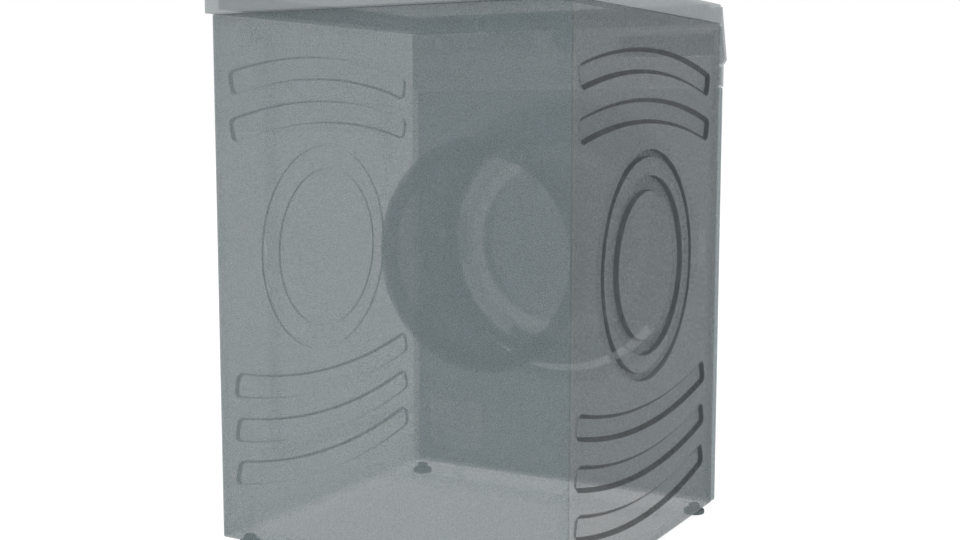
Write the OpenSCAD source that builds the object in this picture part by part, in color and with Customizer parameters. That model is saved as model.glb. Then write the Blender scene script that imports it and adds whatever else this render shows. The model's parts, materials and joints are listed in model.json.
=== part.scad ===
// Front-loading washing machine with a bare steel cabinet, open underneath.
// Frame: X to the right when facing the door, -Y out of the door, +Z up.
// The origin is on the floor, under the middle of the machine's box.

/* [Cabinet] */
// Width over the two side panels
cab_w = 595; // [590:1:600]
// Depth of a side panel
cab_d = 552; // [548:1:556]
// Height of a side panel
side_h = 801; // [798:1:804]
// Gap under the cabinet that the feet make
foot_h = 18; // [16:1:22]
// Height of the worktop's edge
lid_h = 31; // [28:1:34]
// How far the worktop stands out behind
lid_over = 20; // [16:1:24]
// Depth of the pressed front panel
front_d = 20; // [18:1:22]
// Thickness of the steel sheet
sheet = 1; // [0.8:0.1:1.2]
// Depth of the patterns pressed into the side panels
press_d = 7; // [5:0.5:8]

/* [Door and tub] */
// Height of the door and drum axis above the floor
axis_z = 448; // [444:1:452]
// Outer radius of the door
door_r = 255; // [254:1:256]
// Radius of the round recess that the door closes into
dish_r = 232; // [231:1:233]
// Radius of the hole in the front panel
mouth_r = 168; // [166:1:170]
// Outer radius of the tub
tub_r = 190; // [188:1:192]
// Outer radius of the drum
drum_r = 178; // [176:1:179]
// Radius of the drum's own mouth
drum_mouth_r = 150; // [149:1:152]

/* [Controls] */
// Radius of the programme knob
knob_r = 22; // [18:1:24]
// Radius of the start button
start_r = 10; // [8:0.5:11]
// Radius of the two option buttons
option_r = 8; // [6:0.5:8.5]

/* [Feet] */
// Distance of a foot from the middle, sideways
foot_x = 272; // [268:1:274]
// Place of the front feet along Y
foot_front_y = -252; // [-252:1:-246]
// Place of the rear feet along Y
foot_rear_y = 256; // [250:1:260]
// Radius of a foot's disc
foot_r = 17.5; // [16:0.5:19]

/* [Hidden] */
$fn = 96;
half_w = cab_w / 2;
rear_y = (cab_d + front_d + lid_over + 24) / 2 - lid_over;
side_y = rear_y - cab_d;
front_y = side_y - front_d;
side_top = foot_h + side_h;
top_z = side_top + lid_h;
flange = 15;
emboss_y = side_y + cab_d / 2 - 1;
run = 0.05;

// front fascia: a face that leans back above a trim strip
trim_z = 717;
fascia_z = 752;
face_z0 = 761;
face_z1 = top_z - 4;
face_y0 = front_y - 16;
face_y1 = front_y + 10;
lean = atan2(face_y1 - face_y0, face_z1 - face_z0);
face_mid = 44;
lid_front_y = front_y + 14;

// tub and drum along Y
tub_front_y = -245;
tub_joint_y = -120;
tub_rear_y = 5;
drum_front_y = -232;
drum_rear_y = -12;
shaft_r = 12.5;

// door
door_back_y = front_y - 2;
door_front_y = front_y - 24;
hinge_x = -250;
hinge_y = front_y - 16;
hinge_pin_r = 3;
lever_x = 206;
lever_y = front_y - 17;
latch_x = 243;
latch_y = front_y - 12;

// pump, hoses and suspension
pump_x = 215;
pump_z = 85;
sump_x = 40;
sump_y = -175;
spring_x = 205;
spring_y = -35;
damper_x = 120;
damper_y = -120;
valve_x = -175;
valve_z = 788;
drain_out_z = 785;
gland_x = 245;
gland_z = 790;

GREY = [0.60, 0.63, 0.64];
PALE = [0.70, 0.73, 0.74];
DARK = [0.40, 0.43, 0.44];
DEEP = [0.27, 0.29, 0.30];
STEEL = [0.62, 0.64, 0.66];

// ---- helpers ----

// an outline in (Y, Z), drawn out along X from x0 to x1
module along_x(x0, x1) {
  translate([x0, 0, 0]) rotate([90, 0, 90]) linear_extrude(x1 - x0) children();
}

// a shape about the drum's axis, from the plane Y = y
module on_axis(y) {
  translate([0, y, axis_z]) rotate([-90, 0, 0]) children();
}

// a ring about the drum's axis
module ring(r_out, r_in, y0, y1) {
  on_axis(y0) difference() {
    cylinder(r = r_out, h = y1 - y0);
    translate([0, 0, -1]) cylinder(r = r_in, h = y1 - y0 + 2);
  }
}

// a box given by its two corners
module block(a, b) {
  translate(a) cube(b - a);
}

// a straight round bar along Y
module bar_y(x, z, r, y0, y1) {
  translate([x, y0, z]) rotate([-90, 0, 0]) cylinder(r = r, h = y1 - y0);
}

// a straight round bar along Z
module bar_z(x, y, r, z0, z1) {
  translate([x, y, z0]) cylinder(r = r, h = z1 - z0);
}

// the place x along the leaning fascia, s up its face: Z points out of the face
module on_face(x, s = face_mid) {
  translate([x, face_y0 + s * sin(lean), face_z0 + s * cos(lean)]) rotate([90 - lean, 0, 0]) children();
}

// Y of the leaning face at height z
function face_y(z) = face_y0 + (z - face_z0) * tan(lean);

// ---- side panels ----

// one curved rib: a band of an arc about a centre r below its middle, with round corners
module rib_outline(r, w, half_angle, inset) {
  corner = 11 - inset;
  r0 = r - w / 2 + inset;
  r1 = r + w / 2 - inset;
  side_angle = half_angle - inset / r * 180 / PI;
  core_angle = side_angle - corner / r * 180 / PI;
  module sector(angle) {
    polygon([[0, 0], [-2 * r * tan(angle), 2 * r], [2 * r * tan(angle), 2 * r]]);
  }
  module band(a, b, angle) {
    intersection() {
      difference() {
        circle(r = b);
        circle(r = a);
      }
      sector(angle);
    }
  }
  band(r0, r1, core_angle);
  band(r0 + corner, r1 - corner, side_angle);
  for (s = [-1, 1]) rotate(s * core_angle) {
    translate([0, r0 + corner]) circle(r = corner);
    translate([0, r1 - corner]) circle(r = corner);
  }
}

rib_r = 960;
rib_w = 37;
rib_angle = 14.3;
top_ribs = [748, 676];
low_ribs = [221, 150, 81];

// all the ribs of one side, in (Y, Z)
module ribs(inset) {
  for (z = top_ribs) translate([emboss_y, z - rib_r]) rib_outline(rib_r, rib_w, rib_angle, inset);
  for (z = low_ribs) {
    translate([emboss_y, z + rib_r]) mirror([0, 1]) rib_outline(rib_r, rib_w, rib_angle, inset);
  }
}

// the round pressing: a sunk ring, a raised bead and a sunk middle
module round_pressing() {
  face = [[0, -press_d], [112, -press_d], [120, 0], [135, 0],
    [143, -press_d], [163, -press_d], [172, 0], [174, 0]];
  n = len(face);
  back = [for (i = [0 : n - 1]) face[n - 1 - i] - [0, sheet]];
  translate([half_w, emboss_y, axis_z]) rotate([0, 90, 0]) rotate_extrude() polygon(concat(face, back));
}

module side_panel() {
  color(GREY) {
    difference() {
      union() {
        block([half_w - sheet, side_y, foot_h], [half_w, rear_y, side_top]);
        along_x(half_w - press_d - sheet, half_w - sheet) ribs(0);
      }
      along_x(half_w - press_d, half_w + 1) ribs(sheet);
      translate([half_w - 10, emboss_y, axis_z]) rotate([0, 90, 0]) cylinder(r = 173, h = 20);
    }
    round_pressing();
    block([half_w - flange, side_y, foot_h], [half_w, side_y + sheet, side_top]);
    block([half_w - flange, rear_y - 2 * sheet, foot_h], [half_w, rear_y - sheet, side_top]);
    block([half_w - flange, side_y, foot_h], [half_w, rear_y - sheet, foot_h + sheet]);
    block([half_w - flange, side_y, side_top - sheet], [half_w, rear_y - sheet, side_top]);
  }
}

module side_panel_right() { side_panel(); }
module side_panel_left() { mirror([1, 0, 0]) side_panel(); }

// ---- the other panels ----

module rear_panel() {
  color(GREY) difference() {
    block([-half_w + sheet, rear_y - sheet, foot_h], [half_w - sheet, rear_y, side_top]);
    bar_y(valve_x, valve_z, 14, rear_y - 5, rear_y + 5);
    bar_y(pump_x, drain_out_z, 11, rear_y - 5, rear_y + 5);
    bar_y(gland_x, gland_z, 9, rear_y - 5, rear_y + 5);
  }
}

flap_x0 = 160;
flap_x1 = 270;
flap_z0 = 45;
flap_z1 = 135;
flap_pin_y = front_y + 3;
flap_pin_z = flap_z0 + 5;

module front_panel() {
  top = trim_z - 0.4;
  dish_y = side_y - 4;
  dish = [[dish_r + 2, front_y], [dish_r, front_y], [dish_r - 3, front_y + 3], [dish_r - 3, dish_y],
    [mouth_r + 4, dish_y], [mouth_r, dish_y + 4], [mouth_r, side_y + 2], [mouth_r + sheet, side_y + 2],
    [mouth_r + sheet, dish_y + 4.5], [mouth_r + 4.5, dish_y + sheet], [dish_r - 2, dish_y + sheet],
    [dish_r - 2, front_y + 3.4], [dish_r + 0.4, front_y + sheet], [dish_r + 2, front_y + sheet]];
  color(DARK) {
    difference() {
      union() {
        difference() {
          block([-half_w, front_y, foot_h], [half_w, side_y, top]);
          block([-half_w + sheet, front_y + sheet, foot_h + sheet],
            [half_w - sheet, side_y + 1, top - sheet]);
        }
        difference() {
          block([-half_w, side_y - sheet, foot_h], [half_w, side_y, top]);
          block([-half_w + flange, side_y - 5, foot_h + flange],
            [half_w - flange, side_y + 5, top - flange]);
        }
      }
      on_axis(front_y - 1) cylinder(r = dish_r + 1, h = 10);
      block([237, front_y - 1, axis_z - 13], [251, front_y + 5, axis_z + 13]);
      block([flap_x0, front_y - 1, flap_z0], [flap_x1, front_y + 5, flap_z1]);
    }
    on_axis(0) rotate_extrude() polygon(dish);
    for (x = [flap_x0 - 2, flap_x1]) difference() {
      block([x, front_y + 0.5, flap_pin_z - 4], [x + 2, front_y + 8, flap_pin_z + 4]);
      translate([x - 1, flap_pin_y, flap_pin_z]) rotate([0, 90, 0]) cylinder(r = 1.5 + run, h = 4);
    }
  }
}

module front_top_rail() {
  color(GREY) difference() {
    block([-half_w + sheet + 0.5, side_y + 1.5, trim_z + 5],
      [half_w - sheet - 0.5, side_y + 20, trim_z + 28]);
    block([-half_w - 1, side_y + 3, trim_z + 6.5], [half_w + 1, side_y + 30, trim_z + 26.5]);
  }
}

module foot_places() {
  for (x = [-foot_x, foot_x], y = [foot_front_y, foot_rear_y]) translate([x, y, 0]) children();
}

module base_frame() {
  low = foot_h + sheet;
  out_x = half_w - sheet - 0.5;
  out_y0 = side_y + 1.5;
  out_y1 = rear_y - 2.5;
  rail = 26;
  color(GREY) difference() {
    union() {
      difference() {
        block([-out_x, out_y0, low], [out_x, out_y1, low + 20]);
        block([-out_x + 2, out_y0 + 2, low + 2], [out_x - 2, out_y1 - 2, low + 21]);
        block([-out_x + rail, out_y0 + rail, low - 1], [out_x - rail, out_y1 - rail, low + 21]);
      }
      foot_places() translate([0, 0, low]) cylinder(r = 9, h = 22);
      block([pump_x - 25, out_y0 + 5, low], [pump_x + 25, -140, low + 2]);
    }
    foot_places() translate([0, 0, low - 1]) cylinder(r = 5 + run, h = 26);
  }
}

// one bar for the springs across the top, one for the dampers across the bottom
module suspension_crossbars() {
  end_x = half_w - sheet - 0.5;
  color(GREY) {
    difference() {
      block([-end_x, spring_y - 12, side_top - 13], [end_x, spring_y + 12, side_top - 3]);
      block([-end_x - 1, spring_y - 10.5, side_top - 11.5], [end_x + 1, spring_y + 10.5, side_top]);
    }
    difference() {
      block([-end_x + 26, damper_y - 18, foot_h + 3], [end_x - 26, damper_y + 18, foot_h + 15]);
      block([-end_x, damper_y - 16.5, foot_h + 2], [end_x, damper_y + 16.5, foot_h + 13.5]);
    }
    for (x = [-end_x, end_x - 27]) {
      block([x, damper_y - 18, foot_h + 21], [x + 27, damper_y + 18, foot_h + 23]);
    }
  }
}

module top_frame() {
  color(PALE) difference() {
    block([-half_w, lid_front_y, side_top], [half_w, rear_y + lid_over, top_z]);
    block([-half_w + 16, lid_front_y + 16, side_top + 6], [half_w - 16, rear_y + lid_over - 16, top_z + 1]);
    block([-half_w + 40, lid_front_y + 40, side_top - 1], [half_w - 40, rear_y - 30, top_z + 1]);
  }
}

module top_board() {
  rim = 16;
  color(PALE) block([-half_w + rim, lid_front_y + rim, side_top + 6],
    [half_w - rim, rear_y + lid_over - rim, top_z - 1]);
}

// ---- fascia and controls ----

drawer_x0 = -285;
drawer_x1 = -105;
drawer_z0 = 768;
drawer_z1 = 812;

module control_fascia() {
  wall = 2.6;
  outer = [[side_y, fascia_z], [front_y - 1, fascia_z], [face_y0, face_z0], [face_y1, face_z1],
    [lid_front_y - 1, face_z1], [lid_front_y - 1, side_top - 1], [side_y, side_top - 1]];
  inner = [[side_y + 1, fascia_z + wall], [front_y, fascia_z + wall], [face_y0 + wall, face_z0 + 2],
    [face_y(side_top - 4) + wall, side_top - 4], [side_y + 1, side_top - 4]];
  color(DARK) difference() {
    along_x(-half_w, half_w) polygon(outer);
    along_x(-half_w + wall, half_w - wall) polygon(inner);
    block([drawer_x0, face_y0 - 5, drawer_z0], [drawer_x1, side_y - 1, drawer_z1]);
    on_face(0) cylinder(r = 3 + run, h = 20, center = true);
    on_face(180) cylinder(r = option_r + 0.3, h = 12, center = true);
    on_face(212) cylinder(r = option_r + 0.3, h = 12, center = true);
    on_face(252) cylinder(r = start_r + 0.3, h = 12, center = true);
    on_face(100) cube([90, 30, 12], center = true);
  }
}

module fascia_trim() {
  color(DARK) difference() {
    block([-half_w, front_y - 1, trim_z], [half_w, side_y, fascia_z - 0.5]);
    block([-half_w + 2.5, front_y + 1.5, trim_z + 2.5], [half_w - 2.5, side_y + 1, fascia_z - 3]);
  }
}

module programme_knob() {
  grip_count = 24;
  color(PALE) on_face(0) {
    difference() {
      translate([0, 0, 0.6]) cylinder(r = knob_r, h = 12);
      translate([0, 0, 10.6]) cylinder(r = knob_r - 4, h = 4);
      for (i = [0 : grip_count - 1]) {
        rotate(i * 360 / grip_count) translate([knob_r + 0.6, 0, 3]) cylinder(r = 1.4, h = 20);
      }
    }
    translate([0, knob_r - 9, 10]) cylinder(r = 1.6, h = 1.6);
    translate([0, 0, -18]) cylinder(r = 3, h = 19);
  }
}

module push_button(x, r) {
  on_face(x) {
    translate([0, 0, -5]) cylinder(r = r, h = 8);
    translate([0, 0, -6]) cylinder(r = r + 2, h = 1.6);
  }
}

module start_button() { color(PALE) push_button(252, start_r); }
module option_button_left() { color(PALE) push_button(180, option_r); }
module option_button_right() { color(PALE) push_button(212, option_r); }

module display_window() {
  color(DEEP) on_face(100) translate([0, 0, -1.2]) cube([89.8, 29.8, 2.4], center = true);
}

module control_board() {
  color([0.35, 0.45, 0.40]) on_face(165) {
    translate([0, 0, -15]) cube([240, 32, 1.6], center = true);
    translate([-65, 0, -12]) cube([80, 24, 4.6], center = true);
    for (x = [15, 47, 87]) translate([x, 0, -12.4]) cube([8, 8, 3.8], center = true);
    for (x = [70, 104]) translate([x, -10, -17.5]) cube([10, 8, 4], center = true);
  }
}

// ---- detergent dispenser ----

module detergent_drawer() {
  gap = 0.5;
  x0 = drawer_x0 + gap;
  x1 = drawer_x1 - gap;
  z0 = drawer_z0 + gap;
  z1 = drawer_z1 - gap;
  tray_x0 = x0 + 4;
  tray_x1 = x1 - 4;
  tray_y1 = -75;
  wide = (tray_x1 - tray_x0 - 8) / 3;
  color(PALE) {
    along_x(x0, x1)
      polygon([[face_y(z0), z0], [face_y(z1), z1], [face_y(z1) + 4, z1], [face_y(z0) + 4, z0]]);
    difference() {
      block([tray_x0, face_y(z1) + 2, z0], [tray_x1, tray_y1, z1 - 6]);
      for (i = [0 : 2]) {
        translate([tray_x0 + 2 + i * (wide + 2), face_y(z1) + 5, z0 + 2])
          cube([wide, tray_y1 - face_y(z1) - 7, 60]);
      }
    }
  }
}

module dispenser_housing() {
  x0 = drawer_x0 - 2;
  x1 = drawer_x1 + 2;
  y0 = side_y + 22;
  y1 = -62;
  color(PALE) {
    difference() {
      block([x0, y0, drawer_z0 - 6], [x1, y1, drawer_z1 + 3]);
      block([x0 + 2, y0 - 1, drawer_z0 - 4], [x1 - 2, y1 - 2, drawer_z1 + 1]);
      bar_z(-120, -150, 14, drawer_z0 - 10, drawer_z0);
    }
    difference() {
      bar_z(-120, -150, 17, drawer_z0 - 22, drawer_z0 - 4);
      bar_z(-120, -150, 14, drawer_z0 - 23, drawer_z0);
    }
  }
}

// bellows hose: a plain tube with raised rings
module dispenser_hose() {
  z0 = 611;
  z1 = drawer_z0 - 22.5;
  color(DEEP) difference() {
    union() {
      bar_z(-120, -150, 18, z0, z1);
      for (i = [0 : 7]) bar_z(-120, -150, 21, z0 + 34 + i * 12, z0 + 40 + i * 12);
    }
    bar_z(-120, -150, 15.5, z0 - 1, z1 + 1);
  }
}

// ---- feet ----

module foot(x, y) {
  color(DEEP) translate([x, y, 0]) {
    rotate_extrude() polygon([[0, 0], [foot_r - 1, 0], [foot_r, 1], [foot_r, 6], [foot_r - 2, 8], [9, 9],
      [9, foot_h - 2], [5, foot_h - 1], [5, foot_h + 28], [0, foot_h + 28]]);
  }
}

module foot_front_left() { foot(-foot_x, foot_front_y); }
module foot_front_right() { foot(foot_x, foot_front_y); }
module foot_rear_left() { foot(-foot_x, foot_rear_y); }
module foot_rear_right() { foot(foot_x, foot_rear_y); }

// one nut on each foot's stud, above the base frame
module foot_locknuts() {
  low = foot_h + sheet + 22;
  color(STEEL) foot_places() difference() {
    translate([0, 0, low]) cylinder(r = 9, h = 4, $fn = 6);
    translate([0, 0, low - 1]) cylinder(r = 5.3, h = 6);
  }
}

// ---- door ----

// the outline that the door ring fills, as a solid of revolution
module door_envelope() {
  on_axis(0) rotate_extrude() polygon([[152, door_back_y], [252, door_back_y], [door_r, door_back_y - 4],
    [door_r, door_front_y + 7], [249, door_front_y], [238, door_front_y], [152, door_front_y + 11]]);
}

module door_ring() {
  shell = [[252, door_back_y], [door_r, door_back_y - 4], [door_r, door_front_y + 7], [249, door_front_y],
    [238, door_front_y], [152, door_front_y + 11], [152, door_front_y + 14], [237, door_front_y + 3.5],
    [247, door_front_y + 3.5], [252, door_front_y + 8], [252, door_back_y - 4], [249, door_back_y]];
  lug = 16;
  color(DEEP) difference() {
    union() {
      on_axis(0) rotate_extrude() polygon(shell);
      // grip pocket
      intersection() {
        door_envelope();
        difference() {
          block([198, door_front_y, axis_z - 48], [238, door_back_y - 2, axis_z + 48]);
          block([200, door_front_y - 1, axis_z - 46], [236, door_back_y - 4, axis_z + 46]);
        }
      }
      // knuckle of the hinge
      intersection() {
        door_envelope();
        union() {
          bar_z(hinge_x, hinge_y, 5, axis_z - lug, axis_z + lug);
          block([hinge_x, hinge_y - 5, axis_z - lug], [hinge_x + 16, hinge_y + 5, axis_z + lug]);
        }
      }
      // ears of the latch
      for (z = [axis_z - 12, axis_z + 9]) block([237, latch_y - 8, z], [252.5, latch_y + 6, z + 3]);
    }
    block([200, door_front_y - 1, axis_z - 46], [236, door_back_y - 4, axis_z + 46]);
    bar_z(lever_x, lever_y, 2 + run, axis_z - 47.6, axis_z + 47.6);
    bar_z(hinge_x, hinge_y, hinge_pin_r + run, axis_z - 40, axis_z + 40);
    bar_z(latch_x, latch_y, 1.5 + run, axis_z - 20, axis_z + 20);
    for (z = [axis_z - 30, axis_z + lug + 0.5]) {
      block([-270, door_front_y - 1, z], [hinge_x + 10, door_back_y + 1, z + 13.5]);
    }
  }
}

module door_inner_ring() {
  back = side_y - 8;
  skirt_y = door_back_y - 1.5;
  color(DARK) difference() {
    on_axis(0) rotate_extrude() polygon([[248.8, skirt_y], [248.8, skirt_y + 2], [225, skirt_y + 2],
      [225, back], [160, back], [150, back - 8], [150, door_back_y - 5], [153, door_back_y - 5],
      [153, back - 7], [161.5, back - 3], [222, back - 3], [222, skirt_y]]);
    block([236, skirt_y - 1, axis_z - 14], [260, skirt_y + 3, axis_z + 14]);
    block([-260, skirt_y - 1, axis_z - 31], [hinge_x + 11, skirt_y + 3, axis_z + 31]);
  }
}

// the bowl that closes the drum's mouth
module door_glass() {
  wall = 4;
  rim_y = door_back_y - 5;
  color([0.55, 0.60, 0.62, 0.5]) on_axis(0) rotate_extrude() polygon([[149.5, rim_y], [149.5, rim_y + 5],
    [144, -262], [134, -238], [118, -222], [95, -214], [0, -210], [0, -210 - wall], [94, -214 - wall],
    [115.5, -225.5], [130.5, -240], [140, -263], [145, rim_y + 5], [145, rim_y]]);
}

module door_handle() {
  color(GREY) {
    difference() {
      union() {
        block([lever_x - 3, lever_y - 4.5, axis_z - 44], [lever_x + 16, lever_y - 0.5, axis_z + 44]);
        bar_z(lever_x, lever_y, 3, axis_z - 45, axis_z + 45);
      }
      block([lever_x + 12, lever_y - 2.5, axis_z - 40], [lever_x + 14, lever_y + 1, axis_z + 40]);
    }
    bar_z(lever_x, lever_y, 2, axis_z - 47.2, axis_z + 47.2);
  }
}

module door_latch() {
  tip_y = front_y + 13;
  color(STEEL) {
    bar_z(latch_x, latch_y, 3.5, axis_z - 8, axis_z + 8);
    block([latch_x - 2.5, latch_y, axis_z - 6], [latch_x + 2.5, tip_y, axis_z + 6]);
    block([latch_x, tip_y - 5, axis_z - 6], [latch_x + 5.5, tip_y, axis_z + 6]);
    bar_z(latch_x, latch_y, 1.5, axis_z - 11.5, axis_z + 11.5);
  }
}

module door_hinge_bracket() {
  color(STEEL) {
    block([-272, front_y - 1.3, axis_z - 29], [hinge_x + 6, front_y, axis_z + 29]);
    for (z = [axis_z - 29, axis_z + 17]) difference() {
      union() {
        bar_z(hinge_x, hinge_y, 5, z, z + 12);
        block([hinge_x - 5, hinge_y, z], [hinge_x + 5, front_y - 0.5, z + 12]);
      }
      bar_z(hinge_x, hinge_y, hinge_pin_r, z - 1, z + 13);
    }
  }
}

module door_hinge_pin() {
  color(STEEL) bar_z(hinge_x, hinge_y, hinge_pin_r, axis_z - 29, axis_z + 29);
}

module door_lock() {
  color(DEEP) difference() {
    block([234.5, front_y + sheet, axis_z - 28], [262, front_y + 44, axis_z + 28]);
    block([236.5, front_y - 1, axis_z - 13], [252, front_y + 20, axis_z + 13]);
  }
}

// bellows seal between the front panel's mouth and the tub
module door_gasket() {
  back = tub_front_y - 0.5;
  color(DEEP) on_axis(0) rotate_extrude() polygon([[mouth_r - 3, side_y - 4],
    [mouth_r - 0.3, side_y - 4], [mouth_r - 0.3, side_y + 3], [mouth_r + 8, side_y + 6],
    [mouth_r + 8, side_y + 9], [mouth_r - 4, side_y + 12], [mouth_r - 4, side_y + 15],
    [mouth_r + 9, back], [mouth_r - 6, back], [mouth_r - 8, side_y + 15],
    [mouth_r - 8, side_y + 10], [mouth_r + 3, side_y + 7], [mouth_r - 3, side_y + 5]]);
}

// ---- tub ----

module tub_front_half() {
  wall = 4;
  color(DARK) {
    difference() {
      ring(tub_r, tub_r - wall, tub_front_y, tub_joint_y);
      bar_z(sump_x, sump_y, 16, axis_z - 220, axis_z - 100);
      bar_z(-120, -150, 13, axis_z + 100, axis_z + 200);
    }
    ring(tub_r, mouth_r - 2, tub_front_y, tub_front_y + wall);
    ring(tub_r + 8, tub_r - 1, tub_joint_y - 7, tub_joint_y);
    difference() {
      bar_z(sump_x, sump_y, 19, axis_z - tub_r - 12, axis_z - tub_r + 14);
      bar_z(sump_x, sump_y, 16, axis_z - tub_r - 13, axis_z - tub_r + 20);
      on_axis(tub_front_y) cylinder(r = tub_r - 2, h = 200);
    }
    difference() {
      bar_z(-120, -150, 15.2, axis_z + 120, 622);
      bar_z(-120, -150, 13, axis_z + 110, 623);
      on_axis(tub_front_y) cylinder(r = tub_r - 2, h = 200);
    }
    // feet for the dampers
    for (x = [-damper_x, damper_x]) difference() {
      block([x - 14, damper_y - 22, 288], [x + 14, damper_y - 2, 325]);
      on_axis(tub_front_y) cylinder(r = tub_r - 2, h = 200);
      bar_z(x, damper_y - 12, 5, 280, 294);
    }
  }
}

module tub_rear_half() {
  wall = 4;
  color(DARK) {
    ring(tub_r, tub_r - wall, tub_joint_y, tub_rear_y);
    ring(tub_r + 8, tub_r - 1, tub_joint_y, tub_joint_y + 7);
    difference() {
      union() {
        ring(tub_r, 20, tub_rear_y - wall, tub_rear_y);
        ring(36, 20, tub_rear_y - wall, tub_rear_y + 26);
        for (i = [0 : 11]) intersection() {
          ring(tub_r - 20, 34, tub_rear_y - 1, tub_rear_y + 4);
          on_axis(0) rotate(i * 30) translate([0, -1.5, 0]) cube([tub_r, 3, 30]);
        }
      }
      on_axis(tub_rear_y) cylinder(r = 24, h = 40);
      for (x = [-20, 20]) bar_y(x, axis_z - 181, 3.2, tub_rear_y - 10, tub_rear_y + 10);
    }
    for (x = [-215, 160]) difference() {
      block([x, spring_y - 10, 528], [x + 55, spring_y + 10, 540]);
      on_axis(tub_joint_y) cylinder(r = tub_r - 2, h = 150);
      bar_z(-spring_x, spring_y, 3, 520, 550);
      bar_z(spring_x, spring_y, 3, 520, 550);
    }
  }
}

module tub_bolts() {
  count = 10;
  color(STEEL) for (i = [0 : count - 1]) {
    on_axis(tub_joint_y - 10) rotate(i * 360 / count) translate([tub_r + 4.4, 0, 0]) {
      cylinder(r = 3.6, h = 3, $fn = 6);
      translate([0, 0, 17]) cylinder(r = 3.6, h = 3, $fn = 6);
    }
  }
}

module bearing(y0) {
  ring(24, 20, y0, y0 + 10);
  ring(16.5, shaft_r + run, y0, y0 + 10);
  ring(20, 16.5, y0 + 2, y0 + 8);
}

module bearing_front() { color(STEEL) bearing(tub_rear_y + 1); }
module bearing_rear() { color(STEEL) bearing(tub_rear_y + 15); }
module shaft_seal() { color(DEEP) ring(20, shaft_r + run, tub_rear_y - 4, tub_rear_y - 0.1); }

module counterweight_front() {
  color(PALE) difference() {
    ring(230, tub_r + 0.5, tub_front_y + 4, tub_front_y + 44);
    block([-240, tub_front_y, axis_z - 34], [240, tub_front_y + 50, axis_z + 34]);
    block([sump_x - 30, tub_front_y, 200], [sump_x + 30, tub_front_y + 60, axis_z]);
  }
}

module counterweight_top() {
  color(PALE) intersection() {
    ring(232, tub_r + 0.5, tub_joint_y + 12, -8);
    block([-75, tub_joint_y, axis_z + 100], [110, 0, axis_z + 240]);
  }
}

module heater() {
  color(STEEL) {
    for (x = [-20, 20]) bar_y(x, axis_z - 181, 3, -105, tub_rear_y + 12);
    translate([-20, -105, axis_z - 181]) rotate([0, 90, 0]) cylinder(r = 3, h = 40);
    block([-30, tub_rear_y, axis_z - 188], [30, tub_rear_y + 4, axis_z - 174]);
  }
}

module motor_stator() {
  teeth = 18;
  color(STEEL) {
    ring(92, 37, tub_rear_y + 4.2, tub_rear_y + 9);
    ring(98, 84, tub_rear_y + 4.2, tub_rear_y + 26);
    for (i = [0 : teeth - 1]) intersection() {
      ring(129, 96, tub_rear_y + 8, tub_rear_y + 26);
      on_axis(0) rotate(i * 360 / teeth) translate([0, -7, 0]) cube([140, 14, 60]);
    }
  }
}

module damper_rods() {
  color(STEEL) for (x = [-damper_x, damper_x]) {
    bar_z(x, damper_y - 12, 5, 110, 293.5);
    bar_z(x, damper_y - 12, 8.4, 110, 150);
  }
}

module damper_cylinders() {
  color(DEEP) for (x = [-damper_x, damper_x]) {
    difference() {
      bar_z(x, damper_y - 12, 13, foot_h + 15, 200);
      bar_z(x, damper_y - 12, 9, foot_h + 20, 201);
    }
    difference() {
      bar_z(x, damper_y - 12, 9, 192, 200);
      bar_z(x, damper_y - 12, 5.4, 190, 201);
    }
  }
}

// plain sleeves with a hook at each end hold the springs' places
module suspension_springs() {
  color(STEEL) for (s = [-1, 1]) {
    difference() {
      bar_z(s * spring_x, spring_y, 13, 590, 760);
      bar_z(s * spring_x, spring_y, 10, 594, 756);
    }
    bar_z(s * spring_x, spring_y, 1.6, 541, 592);
    bar_z(s * spring_x, spring_y, 1.6, 758, side_top - 13.2);
  }
}

// ---- drum ----

module drum() {
  skin = 1.2;
  front = drum_front_y;
  back = drum_rear_y;
  color(STEEL) on_axis(0) rotate_extrude() polygon([[drum_mouth_r, front + 8],
    [drum_mouth_r + 3, front], [drum_r - 6, front], [drum_r, front + 6], [drum_r, back - 5],
    [drum_r - 5, back], [30, back], [30, back - skin], [drum_r - 6, back - skin],
    [drum_r - skin, back - 6], [drum_r - skin, front + 7], [drum_r - 7, front + skin],
    [drum_mouth_r + 4, front + skin], [drum_mouth_r + skin, front + 8]]);
}

module drum_lifters() {
  color(PALE) for (i = [0 : 2]) {
    translate([0, drum_rear_y - 10, axis_z]) rotate([90, 0, 0]) rotate(30 + i * 120)
      linear_extrude(190) polygon([[-24, drum_r - 6], [-9, drum_r - 36], [-4, drum_r - 40],
        [4, drum_r - 40], [9, drum_r - 36], [24, drum_r - 6]]);
  }
}

// cast star behind the drum, with the shaft
module drum_spider() {
  color(STEEL) {
    on_axis(drum_rear_y) cylinder(r = 36, h = 10);
    for (i = [0 : 2]) on_axis(drum_rear_y) rotate(30 + i * 120) linear_extrude(8)
      polygon([[-18, 20], [-9, drum_r - 3], [9, drum_r - 3], [18, 20]]);
    on_axis(drum_rear_y) cylinder(r = shaft_r, h = 60);
  }
}

module motor_rotor() {
  y0 = tub_rear_y + 7;
  y1 = tub_rear_y + 36;
  color(DARK) difference() {
    union() {
      on_axis(0) rotate_extrude() polygon([[shaft_r, y1 - 8], [30, y1 - 8], [34, y1 - 3],
        [124, y1 - 3], [131, y1 - 8], [131, y0], [137, y0], [137, y1 - 5], [132, y1],
        [28, y1], [24, y1 + 2], [shaft_r, y1 + 2]]);
    }
    for (i = [0 : 11]) on_axis(y1 - 10) rotate(i * 30) translate([78, 0, 0]) cylinder(r = 12, h = 20);
  }
}

// ---- pump and hoses ----

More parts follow.
